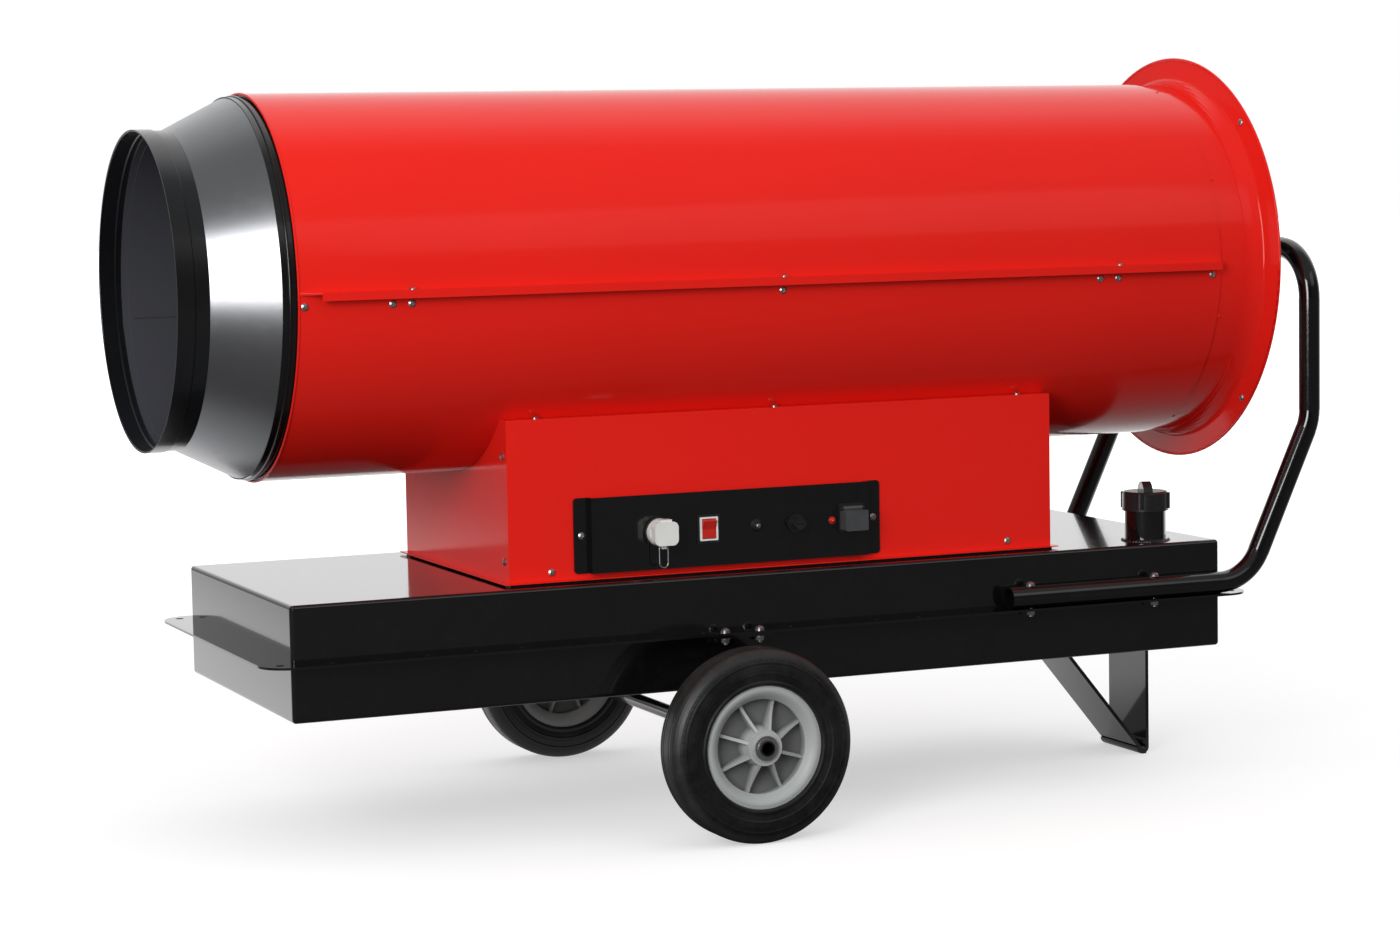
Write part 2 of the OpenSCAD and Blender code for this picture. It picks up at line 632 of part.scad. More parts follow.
module saddle_wall(x, out, sides) difference() {
  union() {
    translate([x, -housing_w / 2, foot_z]) cube([housing_t, housing_w, housing_h]);
    translate([out > 0 ? x : x - lip_w, -housing_w / 2, foot_z])
      cube([lip_w + housing_t, housing_w, housing_t]);
  }
  along_x(x - over, 0, axis_h) cylinder(r = casing_r + gap, h = housing_t + 2 * over);
  for (z = wall_screw_z, s = sides) along_x(x - over, s * wall_screw_y, z)
    cylinder(d = screw_hole, h = housing_t + 2 * over);
}
module housing_outlet_wall() color([0.9, 0.12, 0.09]) saddle_wall(h0, -1, [1]);
module housing_inlet_wall() color([0.85, 0.1, 0.07]) saddle_wall(h1 - housing_t, 1, [-1, 1]);
module small_screw() cross_screw(screw_d, screw_head_d, screw_head_h, screw_l, $fn = 24);
module housing_screws() color("silver") {
  both_sides() {
    for (x = foot_screw_x) out_front(x, -housing_w / 2, foot_screw_z) small_screw();
    for (x = fold_screw_x) translate([x, -fold_screw_y, housing_top]) small_screw();
    for (z = wall_screw_z) translate([h1, wall_screw_y, z]) rotate([0, 90, 0]) small_screw();
  }
  for (z = wall_screw_z) translate([h0, wall_screw_y, z]) rotate([0, -90, 0]) small_screw();
  for (x = tab_screw_x) out_front(x, -housing_w / 2 - panel_t, panel_z) small_screw();
}

// control panel: a plate with its middle folded proud of two screwed tabs
panel_up = 8;
panel_low = foot_z + panel_up;
panel_z = panel_low + panel_h / 2;
panel_y = housing_w / 2 + panel_raise + panel_t;
tab_w = 23;
tab_screw_x = [ox(panel_at) + tab_w / 2 - over, ox(panel_at + panel_l) - tab_w / 2 + over];
panel_corner_r = 5;
plug_at = 502.5;
switch_at = 573;
reset_at = 642;
fuse_at = 698;
lamp_at = 752;
inlet_at = 779;
module at_panel(at) translate([ox(at), -panel_y, panel_z]) rotate([90, 0, 0]) children();
module through_panel(at) at_panel(at) translate([0, 0, -panel_t - over]) linear_extrude(panel_t + 2 * over)
  children();
module control_panel() color([0.05, 0.05, 0.05]) difference() {
  intersection() {
    translate([ox(panel_at), -housing_w / 2, panel_low]) linear_extrude(panel_h) union() {
      for (x = [0, panel_l - tab_w]) translate([x, -panel_t]) square([tab_w, panel_t]);
      for (x = [tab_w - panel_t, panel_l - tab_w]) translate([x, -panel_raise - panel_t])
        square([panel_t, panel_raise + panel_t]);
      translate([tab_w - panel_t, -panel_raise - panel_t])
        square([panel_l - 2 * tab_w + 2 * panel_t, panel_t]);
    }
    out_front(ox(panel_at + panel_l / 2), -housing_w / 2 + over, panel_z)
      round_plate(panel_l, panel_h, panel_corner_r, panel_raise + panel_t + 2 * over);
  }
  through_panel(plug_at) circle(d = socket_d + 2 * gap);
  through_panel(switch_at) square([switch_in_w + 2 * gap, switch_in_h + 2 * gap], center = true);
  through_panel(reset_at) circle(d = reset_body_d + 2 * gap);
  through_panel(fuse_at) circle(d = fuse_body_d + 2 * gap);
  through_panel(lamp_at) circle(d = lamp_body_d + 2 * gap);
  through_panel(inlet_at) circle(d = inlet_body_d + 2 * gap);
  for (x = tab_screw_x) along_y(x, -housing_w / 2 - panel_t - over, panel_z)
    cylinder(d = screw_hole, h = panel_t + 2 * over);
}

// thermostat socket with its bridging plug and the wire bail on the plug
socket_d = 30;
socket_flange_d = 40;
socket_flange_t = 4;
socket_l = 24;
socket_bore_d = 20;
plug_in = 14;
plug_d = 36;
plug_w = 33;
plug_tall = 31;
plug_back_l = 10;
plug_l = 25;
plug_round = 8;
bail_wire = 2;
bail_out = 13;
bail_w = 12;
bail_l = 27;
lug_w = 6;
lug_h = 5;
module thermostat_socket() color([0.1, 0.1, 0.1]) at_panel(plug_at) difference() {
  union() {
    cylinder(d = socket_flange_d, h = socket_flange_t);
    translate([0, 0, -socket_l]) cylinder(d = socket_d, h = socket_l);
  }
  translate([0, 0, -plug_in]) cylinder(d = socket_bore_d + 2 * gap, h = plug_in + socket_flange_t + over);
}
bail_pivot_y = -plug_tall / 2 - lug_h / 2;
module thermostat_plug() color([0.92, 0.92, 0.9]) at_panel(plug_at) translate([0, 0, socket_flange_t + gap])
  difference() {
  union() {
    cylinder(d = plug_d, h = plug_back_l);
    translate([0, 0, plug_back_l - over])
      round_plate(plug_w, plug_tall, plug_round, plug_l - plug_back_l + over);
    translate([0, 0, gap - plug_in]) cylinder(d = socket_bore_d, h = plug_in);
    // latch on top of the plug
    translate([-plug_w / 4, 0, plug_back_l])
      cube([plug_w / 2, plug_tall / 2 + lug_h / 2, plug_l - plug_back_l - lug_h / 2]);
    translate([-lug_w / 2, bail_pivot_y - lug_h / 2, bail_out - lug_w / 2])
      cube([lug_w, 3 * lug_h / 2, lug_w]);
  }
  along_x(-plug_w, bail_pivot_y, bail_out) cylinder(d = bail_wire + 2 * run_gap, h = 2 * plug_w, $fn = 24);
}
module bail_bend(r, a) rotate_extrude(angle = a) translate([r, 0]) circle(d = bail_wire, $fn = 24);
module plug_bail() color([0.6, 0.6, 0.6]) at_panel(plug_at)
  translate([0, bail_pivot_y, socket_flange_t + gap + bail_out]) {
  along_x(bail_wire - bail_w / 2, 0, 0) cylinder(d = bail_wire, h = bail_w - 2 * bail_wire, $fn = 24);
  for (s = [-1, 1]) translate([s * (bail_w / 2 - bail_wire), -bail_wire, 0]) {
    rotate(s > 0 ? 0 : 90) bail_bend(bail_wire, 90);
    translate([s * bail_wire, 0, 0]) rotate([90, 0, 0])
      cylinder(d = bail_wire, h = bail_l - bail_wire - bail_w / 2, $fn = 24);
  }
  translate([0, bail_w / 2 - bail_l, 0]) rotate(180) bail_bend(bail_w / 2, 180);
}

// rocker switch: gasket, body and rocker on two stub pins
switch_w = 25.4;
switch_h = 31;
switch_r = 1;
bezel_w = 32;
bezel_h = 38;
bezel_t = 2;
switch_lip_t = 3.5;
switch_in_w = 23;
switch_in_h = 29;
switch_depth = 18;
rocker_w = 19.4;
rocker_r = 13;
rocker_pivot = 1;
rocker_back = 8;
rocker_mid_h = 4.2;
rocker_end_h = 6.8;
rocker_pin_d = 3;
rocker_pin_l = 1;
module switch_bezel() color([0.05, 0.05, 0.05]) at_panel(switch_at) difference() {
  round_plate(bezel_w, bezel_h, bezel_t, bezel_t);
  translate([0, 0, bezel_t / 2])
    cube([switch_w + 2 * gap, switch_h + 2 * gap, bezel_t + 2 * over], center = true);
}
module switch_body() color([0.95, 0.95, 0.95]) at_panel(switch_at) difference() {
  union() {
    round_plate(switch_w, switch_h, switch_r, switch_lip_t);
    translate([-switch_in_w / 2, -switch_in_h / 2, -switch_depth])
      cube([switch_in_w, switch_in_h, switch_depth + over]);
  }
  translate([-rocker_w / 2 - gap, -rocker_r - gap, -rocker_pivot - rocker_r - gap])
    cube([rocker_w + 2 * gap, 2 * (rocker_r + gap), switch_depth + switch_lip_t]);
  along_x(-rocker_w / 2 - gap - rocker_pin_l, 0, -rocker_pivot)
    cylinder(d = rocker_pin_d + 2 * run_gap, h = rocker_w + 2 * (gap + rocker_pin_l), $fn = 24);
}
module switch_rocker() color([0.85, 0.08, 0.06]) at_panel(switch_at) translate([0, 0, -rocker_pivot])
  rotate([rocker_tilt, 0, 0]) {
  rotate([90, 0, 90]) translate([0, 0, -rocker_w / 2]) linear_extrude(rocker_w) intersection() {
    circle(rocker_r, $fn = 96);
    polygon([[-rocker_r, -rocker_back], [-rocker_r, rocker_end_h], [0, rocker_mid_h],
      [rocker_r, rocker_end_h],
      [rocker_r, -rocker_back]]);
  }
  along_x(-rocker_w / 2 - rocker_pin_l, 0, 0)
    cylinder(d = rocker_pin_d, h = rocker_w + 2 * rocker_pin_l, $fn = 24);
}

// reset button in its threaded bush
reset_d = 17;
reset_flange_t = 3.5;
reset_body_d = 12;
reset_body_l = 16;
reset_pin_d = 6;
reset_out = 9;
reset_chamfer = 1;
module reset_bush() color([0.08, 0.08, 0.08]) at_panel(reset_at) difference() {
  union() {
    cylinder(d1 = reset_d, d2 = reset_body_d, h = reset_flange_t);
    translate([0, 0, -reset_body_l]) cylinder(d = reset_body_d, h = reset_body_l);
  }
  translate([0, 0, -reset_body_l - over])
    cylinder(d = reset_pin_d + 2 * run_gap, h = reset_body_l + reset_flange_t + 2 * over);
}
module reset_button() color([0.8, 0.8, 0.8]) at_panel(reset_at) {
  translate([0, 0, -reset_body_l]) cylinder(d = reset_pin_d, h = reset_body_l + reset_out - reset_chamfer);
  translate([0, 0, reset_out - reset_chamfer])
    cylinder(d1 = reset_pin_d, d2 = reset_pin_d - 2 * reset_chamfer, h = reset_chamfer);
}

// fuse holder with a quarter-turn cap
fuse_d = 24;
fuse_flange_t = 4;
fuse_neck_d = 18;
fuse_neck_l = 5;
fuse_body_d = 17;
fuse_body_l = 30;
fuse_bore_d = 11;
fuse_bore_l = 16;
fuse_cap_d = 15;
fuse_cap_l = 8;
fuse_slot = 1.6;
fuse_slot_share = 0.8;
module fuse_holder() color([0.06, 0.06, 0.06]) at_panel(fuse_at) difference() {
  union() {
    cylinder(d = fuse_d, h = fuse_flange_t);
    cylinder(d = fuse_neck_d, h = fuse_flange_t + fuse_neck_l);
    translate([0, 0, -fuse_body_l]) cylinder(d = fuse_body_d, h = fuse_body_l);
  }
  translate([0, 0, -fuse_bore_l])
    cylinder(d = fuse_bore_d + 2 * run_gap, h = fuse_bore_l + fuse_flange_t + fuse_neck_l + over);
}
module fuse_cap() color([0.12, 0.12, 0.12]) at_panel(fuse_at)
  translate([0, 0, fuse_flange_t + fuse_neck_l + gap]) difference() {
  union() {
    cylinder(d = fuse_cap_d, h = fuse_cap_l);
    translate([0, 0, gap - fuse_bore_l]) cylinder(d = fuse_bore_d, h = fuse_bore_l);
    for (s = [-1, 1]) translate([s * fuse_cap_d / 2, 0, fuse_cap_l / 2])
      cube([2 * fuse_slot, 2 * fuse_slot, fuse_cap_l], center = true);
  }
  translate([0, 0, fuse_cap_l])
    cube([fuse_slot_share * fuse_cap_d, fuse_slot, 2 * fuse_slot], center = true);
}
lamp_d = 10;
lamp_t = 2;
lamp_chamfer = 1;
lamp_body_d = 8;
lamp_body_l = 20;
module indicator_lamp() color([0.7, 0.1, 0.1]) at_panel(lamp_at) {
  cylinder(d1 = lamp_d, d2 = lamp_d - lamp_chamfer, h = lamp_t);
  translate([0, 0, -lamp_body_l]) cylinder(d = lamp_body_d, h = lamp_body_l);
  translate([0, 0, lamp_t]) intersection() {
    sphere(d = lamp_body_d - lamp_chamfer, $fn = 32);
    translate([0, 0, lamp_d / 2 - lamp_t / 4]) cube(lamp_d, center = true);
  }
}

// power inlet with a sprung lid hinged along its upper edge
inlet_w = 37;
inlet_h = 38;
inlet_base_t = 3;
inlet_up = 3;
inlet_corner_r = 3;
inlet_body_d = 29;
inlet_body_l = 26;
inlet_tube_d = 20;
inlet_tube_t = 2;
inlet_tube_l = 12;
inlet_pin_d = 3.5;
inlet_pin_ring = 5;
lid_w = 33;
lid_h = 27;
lid_l = 18;
lid_t = 2;
lid_r = 2;
lid_hinge_d = 6;
lid_pin_d = 3;
lid_hinge_y = lid_h / 2 + lid_hinge_d / 2 - lid_t / 2;
lid_hinge_z = inlet_base_t + lid_hinge_d / 2 + gap;
lid_ear_t = 2.5;
lid_ear_x = lid_w / 2 - lid_ear_t;
module power_inlet() color([0.07, 0.07, 0.07]) at_panel(inlet_at) {
  difference() {
    union() {
      translate([0, inlet_up, 0]) round_plate(inlet_w, inlet_h, inlet_corner_r, inlet_base_t);
      cylinder(d = inlet_tube_d, h = inlet_base_t + inlet_tube_l);
      translate([0, 0, -inlet_body_l]) cylinder(d = inlet_body_d, h = inlet_body_l);
      for (x = [lid_ear_x, -lid_ear_x - lid_ear_t]) {
        translate([x, lid_hinge_y - lid_hinge_d / 2, inlet_base_t - over])
          cube([lid_ear_t, lid_hinge_d, lid_hinge_z - inlet_base_t + over]);
        along_x(x, lid_hinge_y, lid_hinge_z) cylinder(d = lid_hinge_d, h = lid_ear_t, $fn = 48);
      }
    }
    cylinder(d = inlet_tube_d - 2 * inlet_tube_t, h = inlet_base_t + inlet_tube_l + over);
    along_x(-lid_w, lid_hinge_y, lid_hinge_z)
      cylinder(d = lid_pin_d + 2 * run_gap, h = 2 * lid_w, $fn = 24);
  }
  for (i = [0 : 2]) rotate(30 + i * 120) translate([inlet_pin_ring, 0, -over])
    cylinder(d = inlet_pin_d, h = inlet_tube_l, $fn = 24);
}
module inlet_cover() color([0.25, 0.25, 0.26]) at_panel(inlet_at) {
  difference() {
    translate([0, 0, inlet_base_t + gap]) round_plate(lid_w, lid_h, lid_r, lid_l);
    translate([0, 0, inlet_base_t + gap - over])
      round_plate(lid_w - 2 * lid_t, lid_h - 2 * lid_t, lid_r / 2, lid_l - lid_t + over);
    for (s = [-1, 1]) translate([s * lid_w / 2, lid_hinge_y, inlet_base_t])
      cube([2 * (lid_ear_t + gap), lid_hinge_d + 2 * gap, 2 * (lid_hinge_d + 2 * gap)], center = true);
  }
  difference() {
    union() {
      along_x(gap - lid_ear_x, lid_hinge_y, lid_hinge_z)
        cylinder(d = lid_hinge_d, h = 2 * (lid_ear_x - gap), $fn = 32);
      along_x(-lid_w / 2, lid_hinge_y, lid_hinge_z) cylinder(d = lid_pin_d, h = lid_w, $fn = 24);
    }
    translate([0, 0, inlet_base_t + gap])
      round_plate(lid_w - 2 * lid_t, lid_h - 2 * lid_t, lid_r / 2, lid_l - lid_t);
  }
}

// casing: two half shells joined by flanges along both sides, with a rolled edge at the outlet
seam_cut_out = 28;
seam_cut_in = 5;
edge_bead_r = 1.4;
seam_screws_at = [165, 671, 1172];
seam_screw_x = [for (d = seam_screws_at) ox(d)];
side_screws_at = [27, 140, 165, 671, 1144, 1172, 1321];
side_screw_x = [for (d = side_screws_at) ox(d)];
side_screw_a = 3.6;
seam_screw_y = casing_r + (seam_w - casing_t) / 2;
screw_tail = 2;
casing_screw_l = casing_t + screw_tail;
pipe_slot = 46;
module half_shell(up) difference() {
  along_x(casing_x, 0, axis_h) {
    tube(casing_d, casing_t, casing_l, $fn = 96);
    rotate_extrude($fn = 96) translate([casing_r, edge_bead_r]) circle(edge_bead_r, $fn = 12);
  }
  translate([casing_x - over, -casing_d, up ? axis_h - casing_d : axis_h])
    cube([casing_l + 2 * over, 2 * casing_d, casing_d]);
}
module seam_flange(w) both_sides() linear_extrude(casing_t)
  polygon([[casing_x, -casing_in_r], [casing_end, -casing_in_r],
  [casing_end, -casing_r], [casing_end - seam_cut_in, -casing_r - w],
  [casing_x + seam_cut_out, -casing_r - w],
  [casing_x, -casing_r]]);
module seam_holes() both_sides() for (x = seam_screw_x)
  translate([x, -seam_screw_y, axis_h - casing_t - over])
  cylinder(d = screw_hole, h = 2 * casing_t + 2 * over);
// places a child on the casing wall at angle a below the seam, looking outwards
module on_casing(x, a) translate([x, 0, axis_h]) rotate([a, 0, 0]) translate([0, -casing_r, 0])
  rotate([90, 0, 0]) children();
module wall_hole() translate([0, 0, -4 * casing_t]) cylinder(d = screw_hole, h = 4 * casing_t + over);
module casing_holes() both_sides() for (x = side_screw_x) on_casing(x, side_screw_a) wall_hole();
module upper_casing() color([0.88, 0.1, 0.07]) difference() {
  union() {
    half_shell(true);
    translate([0, 0, axis_h]) seam_flange(seam_w);
    both_sides() translate([casing_x + seam_cut_out, -casing_r - seam_w, axis_h - seam_drop])
      cube([casing_l - seam_cut_out - seam_cut_in, casing_t, seam_drop + casing_t]);
  }
  seam_holes();
  casing_holes();
}
module lower_casing() color([0.88, 0.1, 0.07]) difference() {
  union() {
    half_shell(false);
    translate([0, 0, axis_h - casing_t]) seam_flange(seam_w - casing_t - gap);
  }
  seam_holes();
  casing_holes();
  translate([pipe_x, 0, axis_h - casing_r - over]) cylinder(d = pipe_slot, h = casing_r / 2);
}
module casing_screw() cross_screw(screw_d, screw_head_d, screw_head_h, casing_screw_l);
bell_screw_n = 4;
module casing_screws() color("silver") {
  both_sides() {
    for (x = side_screw_x) on_casing(x, side_screw_a) casing_screw();
    for (x = seam_screw_x) translate([x, -seam_screw_y, axis_h + casing_t]) {
      cross_screw(screw_d, screw_head_d, screw_head_h, casing_screw_l + casing_t + screw_nut_h);
      translate([0, 0, -2 * casing_t - screw_nut_h])
        cylinder(d = screw_nut_w / cos(30), h = screw_nut_h, $fn = 6);
    }
  }
  for (i = [0 : bell_screw_n - 1]) at_bell(i)
    cross_screw(screw_d, screw_head_d, screw_head_h, casing_t + screw_d);
}
screw_nut_w = 8;
screw_nut_h = 4;

// outlet: cone with a straight sleeve inside, spigot and the black band over the joint, all turned about the
// casing axis
cone_x = casing_x - collar_w;
neck_x = cone_x - cone_l;
rim_x = neck_x - spigot_l;
spigot_step = 1.5;
spigot_band = 19;
cone_small_r = spigot_r - spigot_step - casing_t - gap;
cone_seat = 4;
cone_big_r = casing_in_r - cone_seat;
cone_in = 25;
cone_neck_l = 12;
sleeve_r = cone_small_r - casing_t + snug;
sleeve_out = 3;
sleeve_in = 60;
rim_bead_r = 1.2;
collar_in = 4;
collar_r = casing_r - collar_in;
collar_back = 3;
ridge_r = 2;
ridge_share = 0.53;
module outlet_cone() color([0.45, 0.45, 0.47]) {
  turned_x([[neck_x - cone_neck_l, cone_small_r], [neck_x, cone_small_r],
    [neck_x + gap, cone_small_r + spigot_step + gap], [cone_x, cone_big_r], [casing_x + cone_in, cone_big_r],
    [casing_x + cone_in, cone_big_r - casing_t], [cone_x, cone_big_r - casing_t],
    [neck_x, cone_small_r - casing_t], [neck_x - cone_neck_l, cone_small_r - casing_t]]);
  turned_x([[neck_x - sleeve_out, sleeve_r], [casing_x + sleeve_in, sleeve_r],
    [casing_x + sleeve_in, sleeve_r - casing_t], [neck_x - sleeve_out, sleeve_r - casing_t]]);
}
module outlet_spigot() color([0.06, 0.06, 0.06]) {
  turned_x([[rim_x, spigot_r], [neck_x - spigot_band, spigot_r],
    [neck_x - spigot_band + spigot_step, spigot_r - spigot_step],
    [neck_x, spigot_r - spigot_step], [neck_x, spigot_r - spigot_step - casing_t],
    [neck_x - spigot_band, spigot_r - spigot_step - casing_t],
      [neck_x - spigot_band - spigot_step, spigot_r - casing_t],
    [rim_x, spigot_r - casing_t]]);
  along_x(0, 0, axis_h) rotate_extrude() translate([spigot_r - rim_bead_r, rim_x + rim_bead_r])
    circle(rim_bead_r, $fn = 24);
}
module outlet_collar() color([0.05, 0.05, 0.05]) difference() {
  along_x(cone_x, 0, axis_h) rotate_extrude() difference() {
    union() {
      translate([cone_big_r + gap, 0]) square([collar_r - cone_big_r - gap, collar_w + collar_back + over]);
      translate([cone_big_r + gap, collar_w + collar_back])
        square([casing_in_r - cone_big_r - 2 * gap, cone_in - collar_back]);
      translate([collar_r, collar_w * ridge_share]) circle(ridge_r, $fn = 24);
    }
    translate([cone_big_r + gap - 2 * ridge_r, 0]) square([2 * ridge_r, collar_w]);
  }
  casing_holes();
}

// inlet: straight neck inside the casing end and a bell mouth, whose outline is a soft arc, a tight fold and
// a nearly flat flange with a rolled edge
bell_soft_r = 44;
bell_soft_a = 30;
bell_fold_r = 8;
bell_a = 80;
bell_bead_r = 2;
bell_step = 1;
bell_in = 30;
bell_skin = casing_t + bell_step;
bell_neck_r = casing_in_r - gap;
bell_x = casing_end + bell_neck_l;
bell_soft = [bell_x, bell_neck_r + bell_step + bell_soft_r];
bell_fold = bell_soft + (bell_soft_r - bell_fold_r) * [sin(bell_soft_a), -cos(bell_soft_a)];
bell_flange = (bell_r - bell_bead_r - bell_fold[1] + bell_fold_r * cos(bell_a)) / sin(bell_a);
bell_screw_share = 0.45;
function arc_point(middle, r, a) = [middle[0] + r * sin(a), middle[1] - r * cos(a)];
// point of the flange, at share s of its width and depth t below its outer face
function flange_point(s, t) = arc_point(bell_fold, bell_fold_r + t, bell_a)
  + s * bell_flange * [cos(bell_a), sin(bell_a)];
// the outline of one face, from the neck outwards
function bell_line(t) = concat(
  [for (k = [0 : 0.2 : 1]) arc_point(bell_soft, bell_soft_r + t, k * bell_soft_a)],
  [for (k = [0.2 : 0.2 : 1]) arc_point(bell_fold, bell_fold_r + t, blend(bell_soft_a, bell_a, k))],
  [flange_point(1, t)]);
rivet_d = 6;
rivet_h = 1.4;
rivet_off = 4;
rivet_a = 17.5;
rivet_n = 8;
module at_bell(i) {
  p = flange_point(bell_screw_share, 0);
  translate([0, 0, axis_h]) rotate([45 + i * 360 / bell_screw_n, 0, 0]) translate([p[0], 0, p[1]])
    rotate([0, -bell_a, 0]) children();
}
module inlet_ring() color([0.9, 0.1, 0.07]) difference() {
  union() {
    turned_x(concat([[casing_end - bell_in, bell_neck_r], [bell_x, bell_neck_r]], bell_line(0),
      reversed(bell_line(bell_skin)),
      [[bell_x, bell_neck_r - casing_t], [casing_end - bell_in, bell_neck_r - casing_t]]));
    along_x(0, 0, axis_h) rotate_extrude() translate([flange_point(1, 0)[1], flange_point(1, 0)[0]])
      circle(bell_bead_r, $fn = 24);
    // painted rivets around the neck
    for (i = [0 : rivet_n - 1]) translate([casing_end + rivet_off, 0, axis_h])
      rotate([rivet_a + i * 360 / rivet_n, 0, 0]) translate([0, 0, bell_neck_r - casing_t / 2])
      round_screw(rivet_d / 2, rivet_d, rivet_h + casing_t / 2, snug);
  }
  casing_holes();
  for (i = [0 : bell_screw_n - 1]) at_bell(i) translate([0, 0, -4 * casing_t])
    cylinder(d = screw_hole, h = 4 * casing_t + over);
}
// the spokes end where the low edge of their wire meets the bell
guard_a = 26;
guard_skin = bell_soft_r + bell_skin;
guard_x = bell_x + guard_skin * sin(guard_a) - wire_d;
guard_seat_share = 0.8;
spoke_low_x = guard_x - guard_seat_share * wire_d - wire_d / 2;
guard_r = bell_soft[1] - guard_skin * cos(asin((spoke_low_x - bell_x) / guard_skin));
guard_ring_r = guard_r - 2 * wire_d;
guard_spokes = 3;
guard_turn = 15;
module inlet_guard() color([0.08, 0.08, 0.08]) along_x(guard_x, 0, axis_h) {
  for (i = [1 : guard_rings]) rotate_extrude() translate([guard_ring_r * i / guard_rings, 0])
    circle(d = wire_d, $fn = 16);
  translate([0, 0, -guard_seat_share * wire_d]) for (i = [0 : guard_spokes - 1])
    rotate(i * 180 / guard_spokes + guard_turn) rotate([90, 0, 0])
    translate([0, 0, snug - guard_r]) cylinder(d = wire_d, h = 2 * (guard_r - snug), $fn = 16);
}

// motor, carried by four arms, with a shaft through to the fan and the fuel pump
motor_at = 1090;
motor_x = ox(motor_at);
motor_end = motor_x + motor_l;
motor_fin_h = 6;
motor_core_r = motor_d / 2 - motor_fin_h;
motor_fins = 24;
motor_fin_t = 2.5;
shield_l = 12;
shield_in = 2;
shield_r = motor_d / 2 - shield_in;
box_l = 60;
box_w = 46;
box_h = 26;
band_l = 30;
band_t = 4;
arm_w = 24;
arm_t = 5;
pad_t = 6;
pad_w = 34;
motor_fin_l = motor_l / 2 - shield_l - band_l / 2 - gap + over;
module motor_fin(i) rotate((i + 0.5) * 360 / motor_fins)
  for (z = [shield_l - over, motor_l - shield_l - motor_fin_l + over])
  translate([motor_d / 4, -motor_fin_t / 2, z]) cube([motor_d / 4, motor_fin_t, motor_fin_l]);
motor_half = [[shaft_d / 2 + run_gap, 0], [motor_core_r - shield_in, 0], [shield_r, shield_l / 2],
  [shield_r, shield_l],
  [motor_core_r, shield_l]];
module fan_motor() color([0.5, 0.52, 0.55]) {
  along_x(motor_x, 0, axis_h) {
    rotate_extrude() polygon(concat(motor_half, [for (p = reversed(motor_half)) [p[0], motor_l - p[1]]]));
    for (i = [0 : motor_fins - 1]) motor_fin(i);
  }
  translate([motor_x + 2 * shield_l, -box_w / 2, axis_h + motor_core_r - band_t])
    cube([box_l / 2, box_w, box_h]);
}
module motor_bracket() color([0.6, 0.6, 0.6]) along_x(motor_x + motor_l / 2 - band_l / 2, 0, axis_h) {
  tube(2 * (motor_core_r + gap + band_t), band_t, band_l);
  intersection() {
    for (i = [0 : 3]) rotate(45 + i * 90) {
      translate([motor_core_r + gap + band_t / 2, -arm_t / 2, (band_l - arm_w) / 2])
        cube([casing_in_r - motor_core_r - band_t / 2, arm_t, arm_w]);
      translate([casing_in_r - pad_t, -pad_w / 2, (band_l - arm_w) / 2]) cube([pad_t, pad_w, arm_w]);
    }
    cylinder(r = casing_in_r - gap, h = band_l);
  }
}
pump_nose_in = 20;
fan_gap = 40;
fan_x = motor_end + fan_gap;
fan_hub_l = 68;
shaft_tail = 12;
module motor_shaft() color("silver") along_x(motor_x - pump_nose_in, 0, axis_h)
  cylinder(d = shaft_d, h = fan_x + fan_hub_l / 2 + shaft_tail - motor_x + pump_nose_in);

// fan: twisted, tapered and cambered blades wrapped about the axis
blade_root_in = 4;
blade_root_r = fan_hub_d / 2 - blade_root_in;
blade_t = 3;
chord_root = 78;
chord_tip = 132;
root_angle = 44;
tip_angle = 24;
camber_share = 0.07;
blade_edge_share = 0.35;
blade_row_steps = 8;
blade_col_steps = 6;
function blend(a, b, u) = a + (b - a) * u;
// point of one blade: u runs from root to tip, v along the chord, side is +1 or -1
function blade_point(u, v, side) =
  let (r = blend(blade_root_r, fan_r, u), chord = blend(chord_root, chord_tip, u),
    pitch = blend(root_angle, tip_angle, sqrt(u)),
    s = (v - 0.5) * chord, thick = blade_t * (blade_edge_share + 4 * (1 - blade_edge_share) * v * (1 - v)),
    n = camber_share * chord * 4 * v * (1 - v) + side * thick / 2,
    along = s * sin(pitch) + n * cos(pitch), turn = (s * cos(pitch) - n * sin(pitch)) * 180 / (PI * r))
  [r * cos(turn), r * sin(turn), along];
module fan_blade() {
  rows = blade_row_steps;
  cols = blade_col_steps;
  n = cols + 1;
  top = [for (i = [0 : rows], j = [0 : cols]) blade_point(i / rows, j / cols, 1)];
  low = [for (i = [0 : rows], j = [0 : cols]) blade_point(i / rows, j / cols, -1)];
  m = len(top);
  quads = [for (i = [0 : rows - 1], j = [0 : cols - 1])
    [i * n + j, i * n + j + 1, (i + 1) * n + j + 1, (i + 1) * n + j]];
  rim = concat([for (j = [0 : cols - 1]) [j, j + 1]],
    [for (i = [0 : rows - 1]) [i * n + n - 1, (i + 1) * n + n - 1]],
    [for (j = [cols : -1 : 1]) [rows * n + j, rows * n + j - 1]],
    [for (i = [rows : -1 : 1]) [i * n, (i - 1) * n]]);
  polyhedron(points = concat(top, low), faces = concat(
    [for (q = quads) each [[q[0], q[1], q[2]], [q[0], q[2], q[3]]]],
    [for (q = quads) each [[m + q[0], m + q[2], m + q[1]], [m + q[0], m + q[3], m + q[2]]]],
    [for (e = rim) each [[e[0], m + e[0], m + e[1]], [e[0], m + e[1], e[1]]]]));
}
